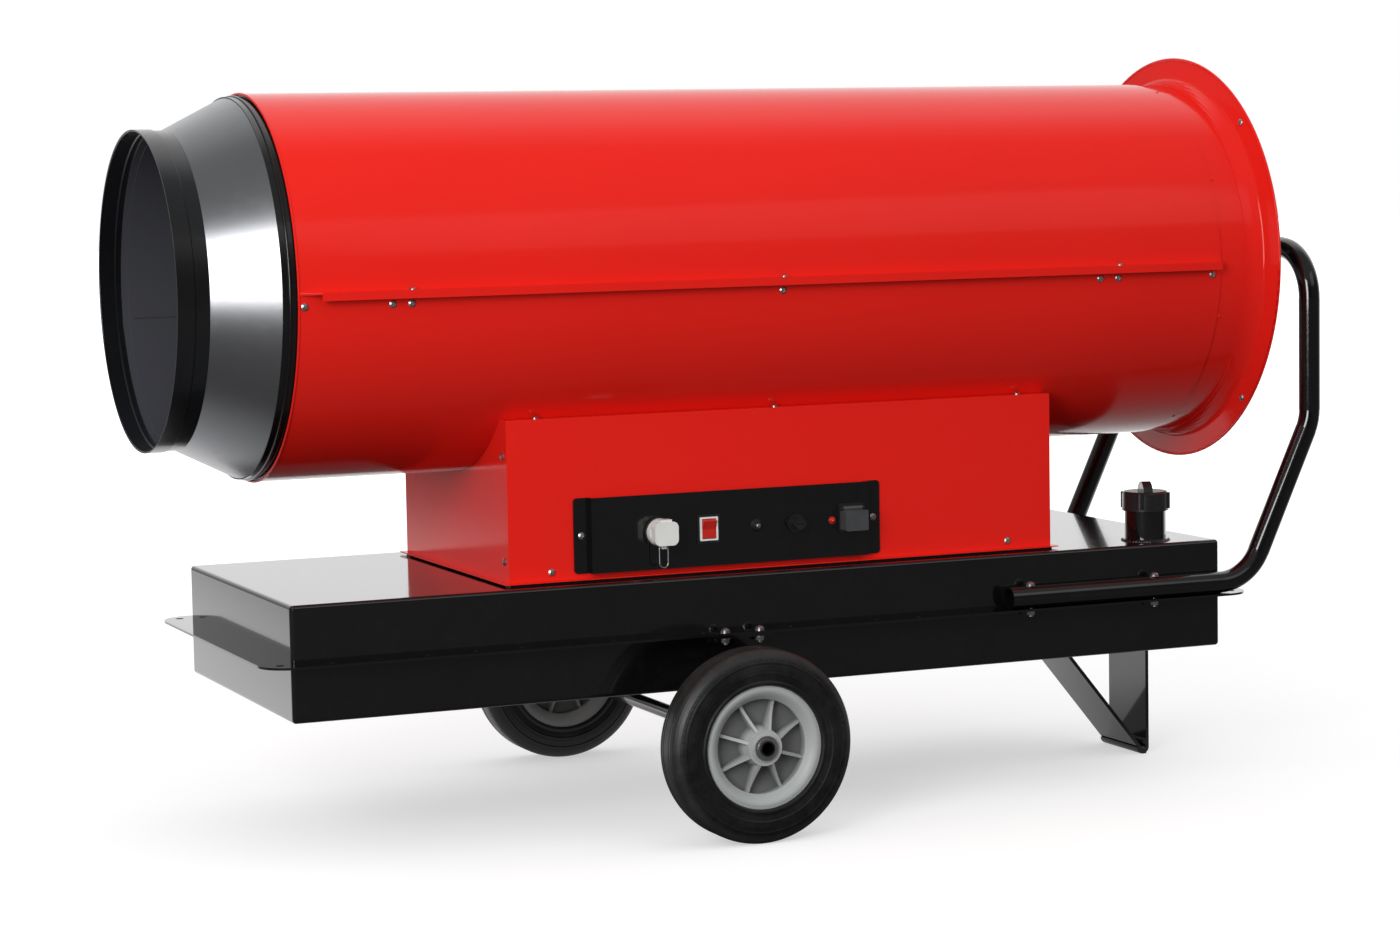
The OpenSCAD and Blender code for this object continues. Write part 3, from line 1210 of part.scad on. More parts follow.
module fan_impeller() color([0.2, 0.2, 0.22]) along_x(fan_x, 0, axis_h) {
  difference() {
    union() {
      translate([0, 0, -fan_hub_l / 2]) cylinder(d = fan_hub_d, h = fan_hub_l - shaft_tail / 2);
      translate([0, 0, fan_hub_l / 2 - shaft_tail / 2])
        cylinder(d1 = fan_hub_d, d2 = fan_hub_d - shaft_tail, h = shaft_tail / 2);
    }
    translate([0, 0, -fan_hub_l / 2 - over]) cylinder(r = shaft_d / 2 + snug, h = fan_hub_l + 2 * over);
  }
  for (i = [0 : blades - 1]) rotate(i * 360 / blades) fan_blade();
}

// combustion chamber on six brackets, with a deflector in its mouth and the burner at its back
chamber_at = 190;
chamber_x = ox(chamber_at);
chamber_end = chamber_x + chamber_l;
chamber_r = chamber_d / 2;
mouth_l = 40;
mouth_in = 20;
bead_h = 5;
bead_w = 16;
bead_shares = [0.3, 0.5, 0.7];
burner_r = burner_d / 2;
function chamber_line(t) = concat([[chamber_x, chamber_r - mouth_in - t],
  [chamber_x + mouth_l, chamber_r - t]],
  [for (s = bead_shares, k = [[-1, 0], [0, 1], [1, 0]]) [chamber_x + chamber_l * s + k[0] * bead_w / 2,
    chamber_r - t + k[1] * bead_h]],
  [[chamber_end - t, chamber_r - t], [chamber_end - t, burner_r + gap]]);
module combustion_chamber() color([0.6, 0.58, 0.55])
  turned_x(concat(chamber_line(0), reversed(chamber_line(casing_t))));
bracket_strip_w = 25;
bracket_strip_t = 3;
bracket_foot_l = 30;
bracket_shares = [0.12, 0.88];
module chamber_brackets() color([0.6, 0.58, 0.55]) for (s = bracket_shares)
  along_x(chamber_x + chamber_l * s, 0, axis_h)
  for (i = [0 : 2]) rotate(60 + i * 120) intersection() {
    union() {
      translate([0, -bracket_strip_w / 2, 0]) cube([casing_r, bracket_strip_w, bracket_strip_t]);
      translate([0, -bracket_strip_w / 2, 0])
        cube([chamber_r + bracket_strip_t + gap, bracket_strip_w, bracket_foot_l]);
      translate([casing_in_r - bracket_strip_t - gap, -bracket_strip_w / 2, 0])
        cube([casing_r, bracket_strip_w, bracket_foot_l]);
    }
    difference() {
      cylinder(r = casing_in_r - gap, h = bracket_foot_l);
      translate([0, 0, -over]) cylinder(r = chamber_r + gap, h = bracket_foot_l + 2 * over);
    }
  }
dish_in = 16;
dish_x = chamber_x + dish_in;
dish_r = 88;
dish_t = 2;
dish_deep = 14;
dish_arm_w = 20;
dish_end_r = chamber_r - mouth_in * (1 - (dish_x - chamber_x) / mouth_l) - casing_t - 2 * gap;
module flame_deflector() color([0.55, 0.53, 0.5]) {
  turned_x([[dish_x + dish_deep, 0], [dish_x + dish_deep, dish_r / 3], [dish_x, dish_r],
    [dish_x + dish_t, dish_r],
    [dish_x + dish_deep + dish_t, dish_r / 3], [dish_x + dish_deep + dish_t, 0]]);
  along_x(dish_x, 0, axis_h) for (i = [0 : 2]) rotate(i * 120)
    translate([dish_r - 4 * dish_t, -dish_arm_w / 2, 0])
    cube([dish_end_r - dish_r + 4 * dish_t - gap, dish_arm_w, dish_t]);
}
burner_in = 20;
burner_t = 2;
burner_flange_w = 25;
burner_flange_t = 3;
burner_slots = 6;
burner_slot_shares = [0.55, 0.22];
nozzle_r = 8;
module burner_tube() color([0.55, 0.55, 0.56]) along_x(chamber_end - burner_in, 0, axis_h) difference() {
  union() {
    cylinder(r = burner_r, h = burner_l);
    translate([0, 0, burner_in]) cylinder(r = burner_r + burner_flange_w, h = burner_flange_t);
  }
  translate([0, 0, -over]) cylinder(r = burner_r - burner_t, h = burner_l - burner_flange_t + over);
  cylinder(r = nozzle_r + gap, h = burner_l + over);
  for (i = [0 : burner_slots - 1]) rotate(i * 360 / burner_slots)
    translate([burner_slot_shares[0] * burner_r, 0, 0])
    cylinder(r = burner_slot_shares[1] * burner_r, h = burner_l + over);
}
swirl_in = 10;
swirl_x = chamber_end + swirl_in;
swirl_slots = 8;
swirl_slot_w = 5;
swirl_slot_shares = [0.5, 0.36];
electrode_y = 20;
electrode_r = 3;
electrode_l = 55;
electrode_tip = 9;
tip_wire = 2;
module swirl_plate() color([0.6, 0.6, 0.6]) along_x(swirl_x, 0, axis_h) {
  difference() {
    cylinder(r = burner_r - burner_t - gap, h = burner_t);
    translate([0, 0, -over]) cylinder(r = nozzle_r + gap, h = burner_t + 2 * over);
    for (i = [0 : swirl_slots - 1]) rotate((i + 0.5) * 360 / swirl_slots)
      translate([swirl_slot_shares[0] * burner_r, -swirl_slot_w / 2, -over])
        cube([swirl_slot_shares[1] * burner_r, swirl_slot_w, burner_t + 2 * over]);
  }
  // ignition electrodes clamped in the plate
  for (s = [-1, 1]) translate([0, s * electrode_y, 0]) {
    translate([0, 0, -2 * tip_wire]) cylinder(r = electrode_r, h = electrode_l, $fn = 24);
    translate([0, 0, -tip_wire - electrode_tip]) cylinder(d = tip_wire, h = electrode_tip, $fn = 16);
    translate([0, 0, -tip_wire - electrode_tip]) rotate([s * 90, 0, 0])
      cylinder(d = tip_wire, h = electrode_y - electrode_tip, $fn = 16);
  }
}
pump_reach = 52;
pump_x = motor_x - pump_reach;
nozzle_in = 4;
nozzle_x = swirl_x - nozzle_in;
nozzle_tip = 8;
module nozzle_line() color([0.75, 0.65, 0.35]) along_x(nozzle_x, 0, axis_h) {
  cylinder(r = nozzle_r, h = pump_x - nozzle_x - gap);
  translate([0, 0, -nozzle_tip]) cylinder(r1 = nozzle_r / 2, r2 = nozzle_r, h = nozzle_tip);
}
pump_w = 62;
pump_l = 38;
pump_r = 8;
pump_nose_r = 24;
module fuel_pump() color([0.55, 0.57, 0.6]) difference() {
  union() {
    along_x(pump_x, 0, axis_h) round_plate(pump_w, pump_w, pump_r, pump_l);
    along_x(pump_x, 0, axis_h) cylinder(r = pump_nose_r, h = motor_x - pump_x - gap);
  }
  along_x(motor_x - pump_nose_in - over, 0, axis_h)
    cylinder(r = shaft_d / 2 + run_gap, h = pump_nose_in + 2 * over);
}
pipe_d = 8;
pipe_x = pump_x + pump_l / 2;
pipe_y = 14;
pipe_places = [[pipe_x, -pipe_y], [pipe_x, pipe_y]];
pipe_in = 125;
pipe_foot_d = 26;
pipe_foot_t = 3;
filter_d = 26;
filter_l = 70;
filter_z = 60;
module fuel_pipes() color([0.7, 0.45, 0.25]) for (p = pipe_places) translate([p[0], p[1], tank_top]) {
  translate([0, 0, -pipe_in])
    cylinder(d = pipe_d, h = axis_h - pump_w / 2 - gap - tank_top + pipe_in, $fn = 32);
  cylinder(d = pipe_foot_d, h = pipe_foot_t);
  if (p[1] < 0) translate([0, 0, filter_z]) cylinder(d = filter_d, h = filter_l);
}
control_at = 470;
control_y = -70;
control_l = 200;
control_w = 120;
control_h = 90;
control_r = 6;
control_foot = 12;
module control_box() color([0.75, 0.75, 0.72])
  translate([ox(control_at) + control_l / 2, control_y + control_w / 2, tank_top]) {
  round_plate(control_l, control_w, control_r, control_h);
  round_plate(control_l + 2 * control_foot, control_w / 2, control_r, burner_flange_t);
}

tank_lower_tray();
tank_upper_tray();
filler_neck();
filler_strainer();
cap_seal();
filler_cap();
drain_plug();
support_leg();
axle_brackets();
axle();
bracket_bolts();
axle_end_rings();
left_rim();
left_tyre();
left_bushes();
right_rim();
right_tyre();
right_bushes();
handle_frame();
handle_bolts();
housing_front_panel();
housing_rear_panel();
housing_outlet_wall();
housing_inlet_wall();
housing_screws();
control_panel();
thermostat_socket();
thermostat_plug();
plug_bail();
switch_bezel();
switch_body();
switch_rocker();
reset_bush();
reset_button();
fuse_holder();
fuse_cap();
indicator_lamp();
power_inlet();
inlet_cover();
upper_casing();
lower_casing();
casing_screws();
outlet_collar();
outlet_cone();
outlet_spigot();
inlet_ring();
inlet_guard();
fan_motor();
motor_bracket();
motor_shaft();
fan_impeller();
combustion_chamber();
chamber_brackets();
flame_deflector();
burner_tube();
swirl_plate();
nozzle_line();
fuel_pump();
fuel_pipes();
control_box();
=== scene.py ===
import math

import bmesh
import bpy
import numpy as np
from mathutils import Matrix, Vector


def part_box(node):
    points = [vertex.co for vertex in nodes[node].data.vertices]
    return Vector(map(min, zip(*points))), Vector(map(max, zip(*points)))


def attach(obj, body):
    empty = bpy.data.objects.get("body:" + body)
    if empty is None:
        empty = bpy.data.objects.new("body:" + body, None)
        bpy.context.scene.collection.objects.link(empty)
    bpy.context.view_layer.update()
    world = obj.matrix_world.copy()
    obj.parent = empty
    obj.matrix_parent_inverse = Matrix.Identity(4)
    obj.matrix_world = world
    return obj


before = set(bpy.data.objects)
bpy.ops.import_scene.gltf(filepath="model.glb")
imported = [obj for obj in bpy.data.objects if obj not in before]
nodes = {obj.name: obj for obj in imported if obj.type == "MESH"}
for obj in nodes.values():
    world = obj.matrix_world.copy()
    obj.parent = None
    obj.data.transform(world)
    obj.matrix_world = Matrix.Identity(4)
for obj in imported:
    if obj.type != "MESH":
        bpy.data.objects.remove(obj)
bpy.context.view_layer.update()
print("stage 1: frame loaded,", len(nodes), "nodes")


# A value inside a shader: plain arithmetic on it adds Math nodes
class Signal:
    def __init__(self, finish, socket):
        self.finish = finish
        self.socket = socket

    def math(self, operation, *others, first=None):
        values = [self if first is None else first, *others]
        return self.finish.add("ShaderNodeMath", {"operation": operation}, dict(enumerate(values)))

    def __add__(self, other): return self.math("ADD", other)
    def __radd__(self, other): return self.math("ADD", other)
    def __sub__(self, other): return self.math("SUBTRACT", other)
    def __rsub__(self, other): return self.math("SUBTRACT", self, first=other)
    def __mul__(self, other): return self.math("MULTIPLY", other)
    def __rmul__(self, other): return self.math("MULTIPLY", other)
    def sine(self): return self.math("SINE")
    def root(self): return self.math("SQRT")
    def size(self): return self.math("ABSOLUTE")
    def most(self, other): return self.math("MAXIMUM", other)

    # 0 below low, 1 above high, straight between
    def ramp(self, low, high):
        return self.finish.add("ShaderNodeMapRange", {"clamp": True},
                               {"Value": self, "From Min": low, "From Max": high})


# the colour sockets of a mix node, among those for numbers and vectors
mixColourInputs, mixColourOutput = (6, 7), 2


# One procedural material, or the world: add() makes any node from its type, its settings and its socket values
class Finish:
    def __init__(self, name, library=bpy.data.materials, outputKind="ShaderNodeOutputMaterial"):
        self.material = library.new(name)
        self.material.use_nodes = True
        self.tree = self.material.node_tree
        self.tree.nodes.clear()
        self.output = self.tree.nodes.new(outputKind)

    def add(self, kind, settings=None, values=None, out=0):
        node = self.tree.nodes.new(kind)
        for key, value in (settings or {}).items():
            setattr(node, key, value)
        for key, value in (values or {}).items():
            if isinstance(value, Signal):
                self.tree.links.new(value.socket, node.inputs[key])
            else:
                node.inputs[key].default_value = value
        return Signal(self, node.outputs[out])

    def place(self):
        return self.add("ShaderNodeTexCoord", out="Object")

    # the three coordinates of a point of the object, in metres, or of a direction in the world
    def axes(self, source="Object"):
        split = self.add("ShaderNodeSeparateXYZ", None, {0: self.add("ShaderNodeTexCoord", out=source)})
        return [Signal(self, split.socket.node.outputs[i]) for i in range(3)]

    # 1 for rays of the named kinds, else 0
    def rays(self, *kinds):
        found = [self.add("ShaderNodeLightPath", out=f"Is {kind} Ray") for kind in kinds]
        total = found[0]
        for other in found[1:]:
            total = total.most(other)
        return total

    def noise(self, scale, detail=3.0, roughness=0.5, stretch=(1, 1, 1)):
        spread = self.add("ShaderNodeMapping", None, {"Vector": self.place(), "Scale": stretch})
        return self.add("ShaderNodeTexNoise", None,
                        {"Vector": spread, "Scale": scale, "Detail": detail, "Roughness": roughness})

    # the first colour where the factor is 0, the second where it is 1
    def blend(self, first, second, factor):
        mixed = self.add("ShaderNodeMix", {"data_type": "RGBA"}, {"Factor": factor})
        node = mixed.socket.node
        for slot, colour in zip(mixColourInputs, (first, second)):
            if isinstance(colour, Signal):
                self.tree.links.new(colour.socket, node.inputs[slot])
            else:
                node.inputs[slot].default_value = (*colour, 1.0)
        return Signal(self, node.outputs[mixColourOutput])

    def bump(self, height, strength, distance):
        return self.add("ShaderNodeBump", None, {"Height": height, "Strength": strength, "Distance": distance})

    def close(self, **values):
        names = {"colour": "Base Color", "roughness": "Roughness", "metallic": "Metallic", "normal": "Normal",
                 "coat": "Coat Weight", "coatRoughness": "Coat Roughness", "glow": "Emission Strength",
                 "glowColour": "Emission Color", "specular": "Specular IOR Level"}
        shader = self.add("ShaderNodeBsdfPrincipled", None, {names[k]: v for k, v in values.items()})
        self.tree.links.new(shader.socket, self.output.inputs[0])
        return self.material


# how each kind of finish reads its noise: detail, roughness, the range that is stretched to 0..1, and bump depths
# in metres; cloudRange is where two near colours change over
cloudRange = (0.35, 0.65)
paintNoise = {"driftDetail": 2.0, "driftRoughness": 0.04, "dustDetail": 6.0, "dustRough": 0.7,
              "dustRange": (0.52, 0.75), "peelDetail": 1.0, "peelDepth": 0.0004, "insideEdge": 0.0003}
metalNoise = {"cloudDetail": 3.0, "brushDetail": 2.0, "brushRough": 0.6, "brushDepth": 0.0003, "spotDetail": 5.0,
              "spotRough": 0.7, "spotRange": (0.55, 0.7), "spotRoughness": 0.2}
plasticNoise = {"grainDetail": 2.0, "grainRough": 0.6, "grainRoughness": 0.15, "grainDepth": 0.0003,
                "cloudDetail": 3.0}
tyreNoise = {"ringEdge": 0.004, "treadEdge": 0.006, "grainDetail": 3.0, "grainShare": 0.4, "dustDetail": 5.0,
             "dustRough": 0.7, "dustRange": (0.4, 0.75), "dustRoughness": 0.15, "bump": 0.5, "depth": 0.0006}


def paint(name, look):
    # gloss sheet paint: slow drift between two near colours, orange peel, and dust that dulls it in patches
    f = Finish(name)
    n = paintNoise
    drift = f.noise(look["driftScale"], n["driftDetail"])
    dust = f.noise(look["dustScale"], n["dustDetail"], n["dustRough"]).ramp(*n["dustRange"])
    peel = f.noise(look["peelScale"], n["peelDetail"])
    colour = f.blend(look["colour"], look["colourTwo"], drift.ramp(*cloudRange))
    colour = f.blend(colour, look["dustColour"], dust * look["dustAmount"])
    metallic = look["metallic"]
    if "shadeRadius" in look:
        # within this distance of the casing's axis the inside is coloured near black as painted shade, and no
        # metal shines
        y, z = f.axes()[1:]
        up = z - look["axisHeight"]
        depth = (y * y + up * up).root().ramp(look["shadeRadius"] - n["insideEdge"], look["shadeRadius"])
        colour = f.blend(look["insideShadeColour"], colour, depth)
        metallic = depth * metallic
    roughness = drift * n["driftRoughness"] + dust * look["dustRoughness"] + look["roughness"]
    return f.close(colour=colour, roughness=roughness, normal=f.bump(peel, look["peelStrength"], n["peelDepth"]),
                   coat=look["coat"], coatRoughness=look["coatRoughness"], metallic=metallic,
                   specular=look["specular"])


def metal(name, look):
    # bare or plated metal: cloudy tint, fine brushing along one direction and small dull spots
    f = Finish(name)
    n = metalNoise
    cloud = f.noise(look["cloudScale"], n["cloudDetail"])
    brush = f.noise(look["brushScale"], n["brushDetail"], n["brushRough"], look["brushStretch"])
    spots = f.noise(look["spotScale"], n["spotDetail"], n["spotRough"]).ramp(*n["spotRange"])
    colour = f.blend(look["colour"], look["colourTwo"], cloud.ramp(*cloudRange))
    colour = f.blend(colour, look["spotColour"], spots * look["spotAmount"])
    roughness = brush * look["brushRoughness"] + spots * n["spotRoughness"] + look["roughness"]
    return f.close(colour=colour, roughness=roughness, metallic=look["metallic"],
                   normal=f.bump(brush, look["brushBump"], n["brushDepth"]))


def plastic(name, look):
    # moulded plastic: fine spark-eroded grain with faint flow clouds
    f = Finish(name)
    n = plasticNoise
    grain = f.noise(look["grainScale"], n["grainDetail"], n["grainRough"])
    cloud = f.noise(look["cloudScale"], n["cloudDetail"])
    colour = f.blend(look["colour"], look["colourTwo"], cloud.ramp(*cloudRange))
    if "recessShadeColour" in look:
        # painted shade: a darker colour deep in the wheel's recess, by the distance from its middle plane
        deep = (f.axes()[1].size() - look["middle"]).size().ramp(look["deep"], look["open"])
        colour = f.blend(look["recessShadeColour"], colour, deep)
    return f.close(colour=colour, roughness=grain * n["grainRoughness"] + look["roughness"],
                   normal=f.bump(grain, look["grainBump"], n["grainDepth"]), coat=look["coat"])


def tyreRubber(name, look, centre):
    # black rubber: fine moulded rings about the wheel's axis, grey dust, most of it on the tread, and a matt grain
    f = Finish(name)
    n = tyreNoise
    x, y, z = f.axes()
    dx, dz = x - centre[0], z - centre[1]
    radius = (dx * dx + dz * dz).root()
    rings = (radius * (2 * math.pi / look["ringStep"])).sine() * 0.5 + 0.5
    inner = radius.ramp(look["ringInner"], look["ringInner"] + n["ringEdge"])
    side = inner * (1 - radius.ramp(look["ringOuter"], look["ringOuter"] + n["ringEdge"]))
    grain = f.noise(look["grainScale"], n["grainDetail"])
    dust = f.noise(look["dustScale"], n["dustDetail"], n["dustRough"]).ramp(*n["dustRange"])
    tread = radius.ramp(look["treadFrom"], look["treadFrom"] + n["treadEdge"])
    colour = f.blend(look["colour"], look["dustColour"], dust * look["dustAmount"] + tread * look["treadAmount"])
    height = rings * side * look["ringHeight"] + grain * n["grainShare"]
    return f.close(colour=colour, roughness=dust * n["dustRoughness"] + look["roughness"],
                   normal=f.bump(height, n["bump"], n["depth"]))


redPaint = {"colour": (0.82, 0.017, 0.011), "colourTwo": (0.80, 0.016, 0.010), "driftScale": 3.0,
            "dustColour": (0.66, 0.04, 0.03), "dustScale": 40.0, "dustAmount": 0.06, "dustRoughness": 0.03,
            "peelScale": 900.0, "peelStrength": 0.04, "roughness": 0.1, "coat": 0.0, "coatRoughness": 0.05,
            "specular": 0.25, "metallic": 0.0}
# the casing's dark inside colour is painted shade, not a real coating
casingPaint = {**redPaint, "shadeRadius": 0.2489, "axisHeight": 0.714, "insideShadeColour": (0.03, 0.028, 0.027)}
blackPaint = {"colour": (0.003, 0.003, 0.0034), "colourTwo": (0.004, 0.004, 0.0044), "driftScale": 4.0,
              "dustColour": (0.012, 0.012, 0.012), "dustScale": 60.0, "dustAmount": 0.3, "dustRoughness": 0.05,
              "peelScale": 800.0, "peelStrength": 0.05, "roughness": 0.1, "coat": 0.7, "coatRoughness": 0.03,
              "specular": 0.5, "metallic": 0.0}
collarPaint = {**blackPaint, "roughness": 0.2, "coat": 0.4}
spigotPaint = {**blackPaint, "roughness": 0.22, "coat": 0.3, "colour": (0.008, 0.009, 0.011)}
# the cone's dark inside colour, past its radius from the axis, is painted shade
conePaint = {**blackPaint, "colour": (0.36, 0.365, 0.38), "colourTwo": (0.32, 0.325, 0.345), "metallic": 1.0,
             "roughness": 0.26, "coat": 0.0, "coatRoughness": 0.2, "dustColour": (0.3, 0.3, 0.3),
             "dustAmount": 0.2, "peelScale": 1500.0, "shadeRadius": 0.2015, "axisHeight": 0.714,
             "insideShadeColour": (0.06, 0.061, 0.072)}
zincLook = {"colour": (0.62, 0.61, 0.58), "colourTwo": (0.52, 0.52, 0.52), "cloudScale": 90.0,
            "brushScale": 300.0, "brushStretch": (1, 1, 6), "spotScale": 150.0, "spotColour": (0.3, 0.29, 0.27),
            "spotAmount": 0.5, "brushRoughness": 0.15, "roughness": 0.24, "metallic": 1.0, "brushBump": 0.1}
steelLook = {**zincLook, "colour": (0.42, 0.41, 0.39), "colourTwo": (0.34, 0.31, 0.28), "cloudScale": 12.0,
             "brushScale": 60.0, "brushStretch": (1, 8, 8), "spotColour": (0.2, 0.12, 0.08), "spotAmount": 0.3,
             "roughness": 0.32}
aluminiumLook = {**zincLook, "colour": (0.58, 0.59, 0.61), "colourTwo": (0.5, 0.51, 0.53), "cloudScale": 20.0,
                 "brushScale": 400.0, "brushStretch": (1, 1, 1), "brushBump": 0.4, "roughness": 0.38}
brassLook = {**zincLook, "colour": (0.72, 0.52, 0.24), "colourTwo": (0.6, 0.42, 0.2),
             "spotColour": (0.3, 0.2, 0.1)}
# the rim's darker colour deep in its recess is painted shade
rimLook = {"colour": (0.42, 0.44, 0.43), "colourTwo": (0.38, 0.40, 0.395), "grainScale": 700.0, "cloudScale": 15.0,
           "grainBump": 0.15, "roughness": 0.36, "coat": 0.0, "recessShadeColour": (0.14, 0.145, 0.14),
           "middle": 0.353, "deep": 0.003, "open": 0.017}
blackPlastic = {"colour": (0.010, 0.010, 0.011), "colourTwo": (0.015, 0.015, 0.016), "grainScale": 900.0,
                "cloudScale": 40.0, "grainBump": 0.15, "roughness": 0.22, "coat": 0.3}
lidPlastic = {**blackPlastic, "colour": (0.05, 0.052, 0.056), "colourTwo": (0.065, 0.067, 0.07), "roughness": 0.3}
whitePlastic = {**blackPlastic, "colour": (0.80, 0.80, 0.77), "colourTwo": (0.74, 0.74, 0.71), "grainBump": 0.08,
                "roughness": 0.28, "coat": 0.2}
redPlastic = {**blackPlastic, "colour": (0.62, 0.02, 0.012), "colourTwo": (0.52, 0.015, 0.01), "grainBump": 0.05,
              "roughness": 0.2, "coat": 0.3}
greyPlastic = {**blackPlastic, "colour": (0.5, 0.5, 0.47), "colourTwo": (0.45, 0.45, 0.43), "roughness": 0.45}
sealLook = {**blackPlastic, "roughness": 0.6}
tyreLook = {"colour": (0.004, 0.004, 0.0045), "dustColour": (0.032, 0.031, 0.03), "dustScale": 30.0,
            "dustAmount": 0.4, "grainScale": 500.0, "ringStep": 0.0045, "ringInner": 0.084, "ringOuter": 0.113,
            "ringHeight": 0.3, "roughness": 0.36, "treadFrom": 0.112, "treadAmount": 0.5}

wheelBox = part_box("left_rim")
wheelCentre = ((wheelBox[0][0] + wheelBox[1][0]) / 2, (wheelBox[0][2] + wheelBox[1][2]) / 2)
finishes = {
    "redPaint": paint("redPaint", redPaint),
    "casingPaint": paint("casingPaint", casingPaint),
    "blackPaint": paint("blackPaint", blackPaint),
    "collarPaint": paint("collarPaint", collarPaint),
    "spigotPaint": paint("spigotPaint", spigotPaint),
    "conePaint": paint("conePaint", conePaint),
    "zinc": metal("zinc", zincLook),
    "steel": metal("steel", steelLook),
    "aluminium": metal("aluminium", aluminiumLook),
    "brass": metal("brass", brassLook),
    "rimPlastic": plastic("rimPlastic", rimLook),
    "blackPlastic": plastic("blackPlastic", blackPlastic),
    "lidPlastic": plastic("lidPlastic", lidPlastic),
    "whitePlastic": plastic("whitePlastic", whitePlastic),
    "redPlastic": plastic("redPlastic", redPlastic),
    "greyPlastic": plastic("greyPlastic", greyPlastic),
    "seal": plastic("seal", sealLook),
    "tyre": tyreRubber("tyre", tyreLook, wheelCentre),
}
print("stage 2:", len(finishes), "finishes")

# which finish each piece of the frame wears
wears = {
    "casingPaint": ["upper_casing", "lower_casing"],
    "redPaint": ["inlet_ring", "housing_front_panel", "housing_rear_panel",
                 "housing_outlet_wall", "housing_inlet_wall"],
    "blackPaint": ["tank_lower_tray", "tank_upper_tray", "filler_neck", "support_leg", "axle_brackets", "axle",
                   "handle_frame", "control_panel", "inlet_guard"],
    "collarPaint": ["outlet_collar"],
    "spigotPaint": ["outlet_spigot"],
    "conePaint": ["outlet_cone"],
    "zinc": ["drain_plug", "bracket_bolts", "axle_end_rings", "handle_bolts", "housing_screws", "casing_screws",
             "reset_button", "plug_bail", "motor_shaft"],
    "steel": ["motor_bracket", "combustion_chamber", "chamber_brackets", "flame_deflector", "burner_tube",
              "swirl_plate"],
    "aluminium": ["fan_motor", "fan_impeller", "fuel_pump"],
    "brass": ["nozzle_line", "fuel_pipes", "filler_strainer"],
    "rimPlastic": ["left_rim", "right_rim", "left_bushes", "right_bushes"],
    "blackPlastic": ["filler_cap", "thermostat_socket", "switch_bezel", "reset_bush", "fuse_holder", "fuse_cap",
                     "power_inlet"],
    "lidPlastic": ["inlet_cover"],
    "whitePlastic": ["thermostat_plug", "switch_body"],
    "redPlastic": ["switch_rocker", "indicator_lamp"],
    "greyPlastic": ["control_box"],
    "seal": ["cap_seal"],
    "tyre": ["left_tyre", "right_tyre"],
}
for finishName, pieceNames in wears.items():
    for pieceName in pieceNames:
        mesh = nodes[pieceName].data
        mesh.materials.clear()
        mesh.materials.append(finishes[finishName])

# small made details that the frame's pieces don't carry

mergeWithin = 1e-7


def sheet(name, points, rider, finish, closed):
    # a grid of points, rows by columns by xyz, joined by quads; its last column joins its first, and where it is
    # closed its last row joins its first too
    rows, columns = points.shape[:2]
    i, j = np.meshgrid(np.arange(rows if closed else rows - 1), np.arange(columns), indexing="ij")
    ni, nj = (i + 1) % rows, (j + 1) % columns
    corners = np.stack([i * columns + j, ni * columns + j, ni * columns + nj, i * columns + nj], axis=-1)
    solid(name, points.reshape(-1, 3), corners.reshape(-1, 4), rider, finish)


def solid(name, vertices, corners, rider, finish):
    # a mesh from arrays of vertices and quads, shaded smooth; points that coincide, as at a pole, become one
    mesh = bpy.data.meshes.new(name)
    mesh.from_pydata(vertices.tolist(), [], corners.tolist())
    whole = bmesh.new()
    whole.from_mesh(mesh)
    bmesh.ops.remove_doubles(whole, verts=whole.verts, dist=mergeWithin)
    bmesh.ops.recalc_face_normals(whole, faces=whole.faces)
    whole.to_mesh(mesh)
    whole.free()
    mesh.polygons.foreach_set("use_smooth", np.ones(len(mesh.polygons), dtype=bool))
    mesh.materials.append(finishes[finish])
    made = bpy.data.objects.new(name, mesh)
    bpy.context.scene.collection.objects.link(made)
    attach(made, rider)


def bead(name, path, look, rider, finish):
    # a weld bead: circles of radius r(s) = radius * (1 + wave * sin(2 pi s / pitch)) about each point of the path,
    # in the plane across it, where s is the length along the path; an open bead shrinks to points at its ends
    path = np.asarray(path, dtype=float)
    closed = look.get("closed", False)
    ahead = np.roll(path, -1, axis=0) - np.roll(path, 1, axis=0)
    if not closed:
        ahead[0], ahead[-1] = path[1] - path[0], path[-1] - path[-2]
    ahead /= np.linalg.norm(ahead, axis=1, keepdims=True)
    side = np.cross(ahead, np.asarray(look["up"], dtype=float))
    side /= np.linalg.norm(side, axis=1, keepdims=True)
    rise = np.cross(side, ahead)
    s = np.concatenate([[0.0], np.cumsum(np.linalg.norm(np.diff(path, axis=0), axis=1))])
    radius = look["radius"] * (1 + look["wave"] * np.sin(2 * np.pi * s / look["pitch"]))
    if not closed:
        radius[0] = radius[-1] = 0.0
    turn = np.linspace(0, 2 * np.pi, look["sides"], endpoint=False)
    ring = np.cos(turn)[None, :, None] * side[:, None, :] + np.sin(turn)[None, :, None] * rise[:, None, :]
    sheet(name, path[:, None, :] + radius[:, None, None] * ring, rider, finish, closed)


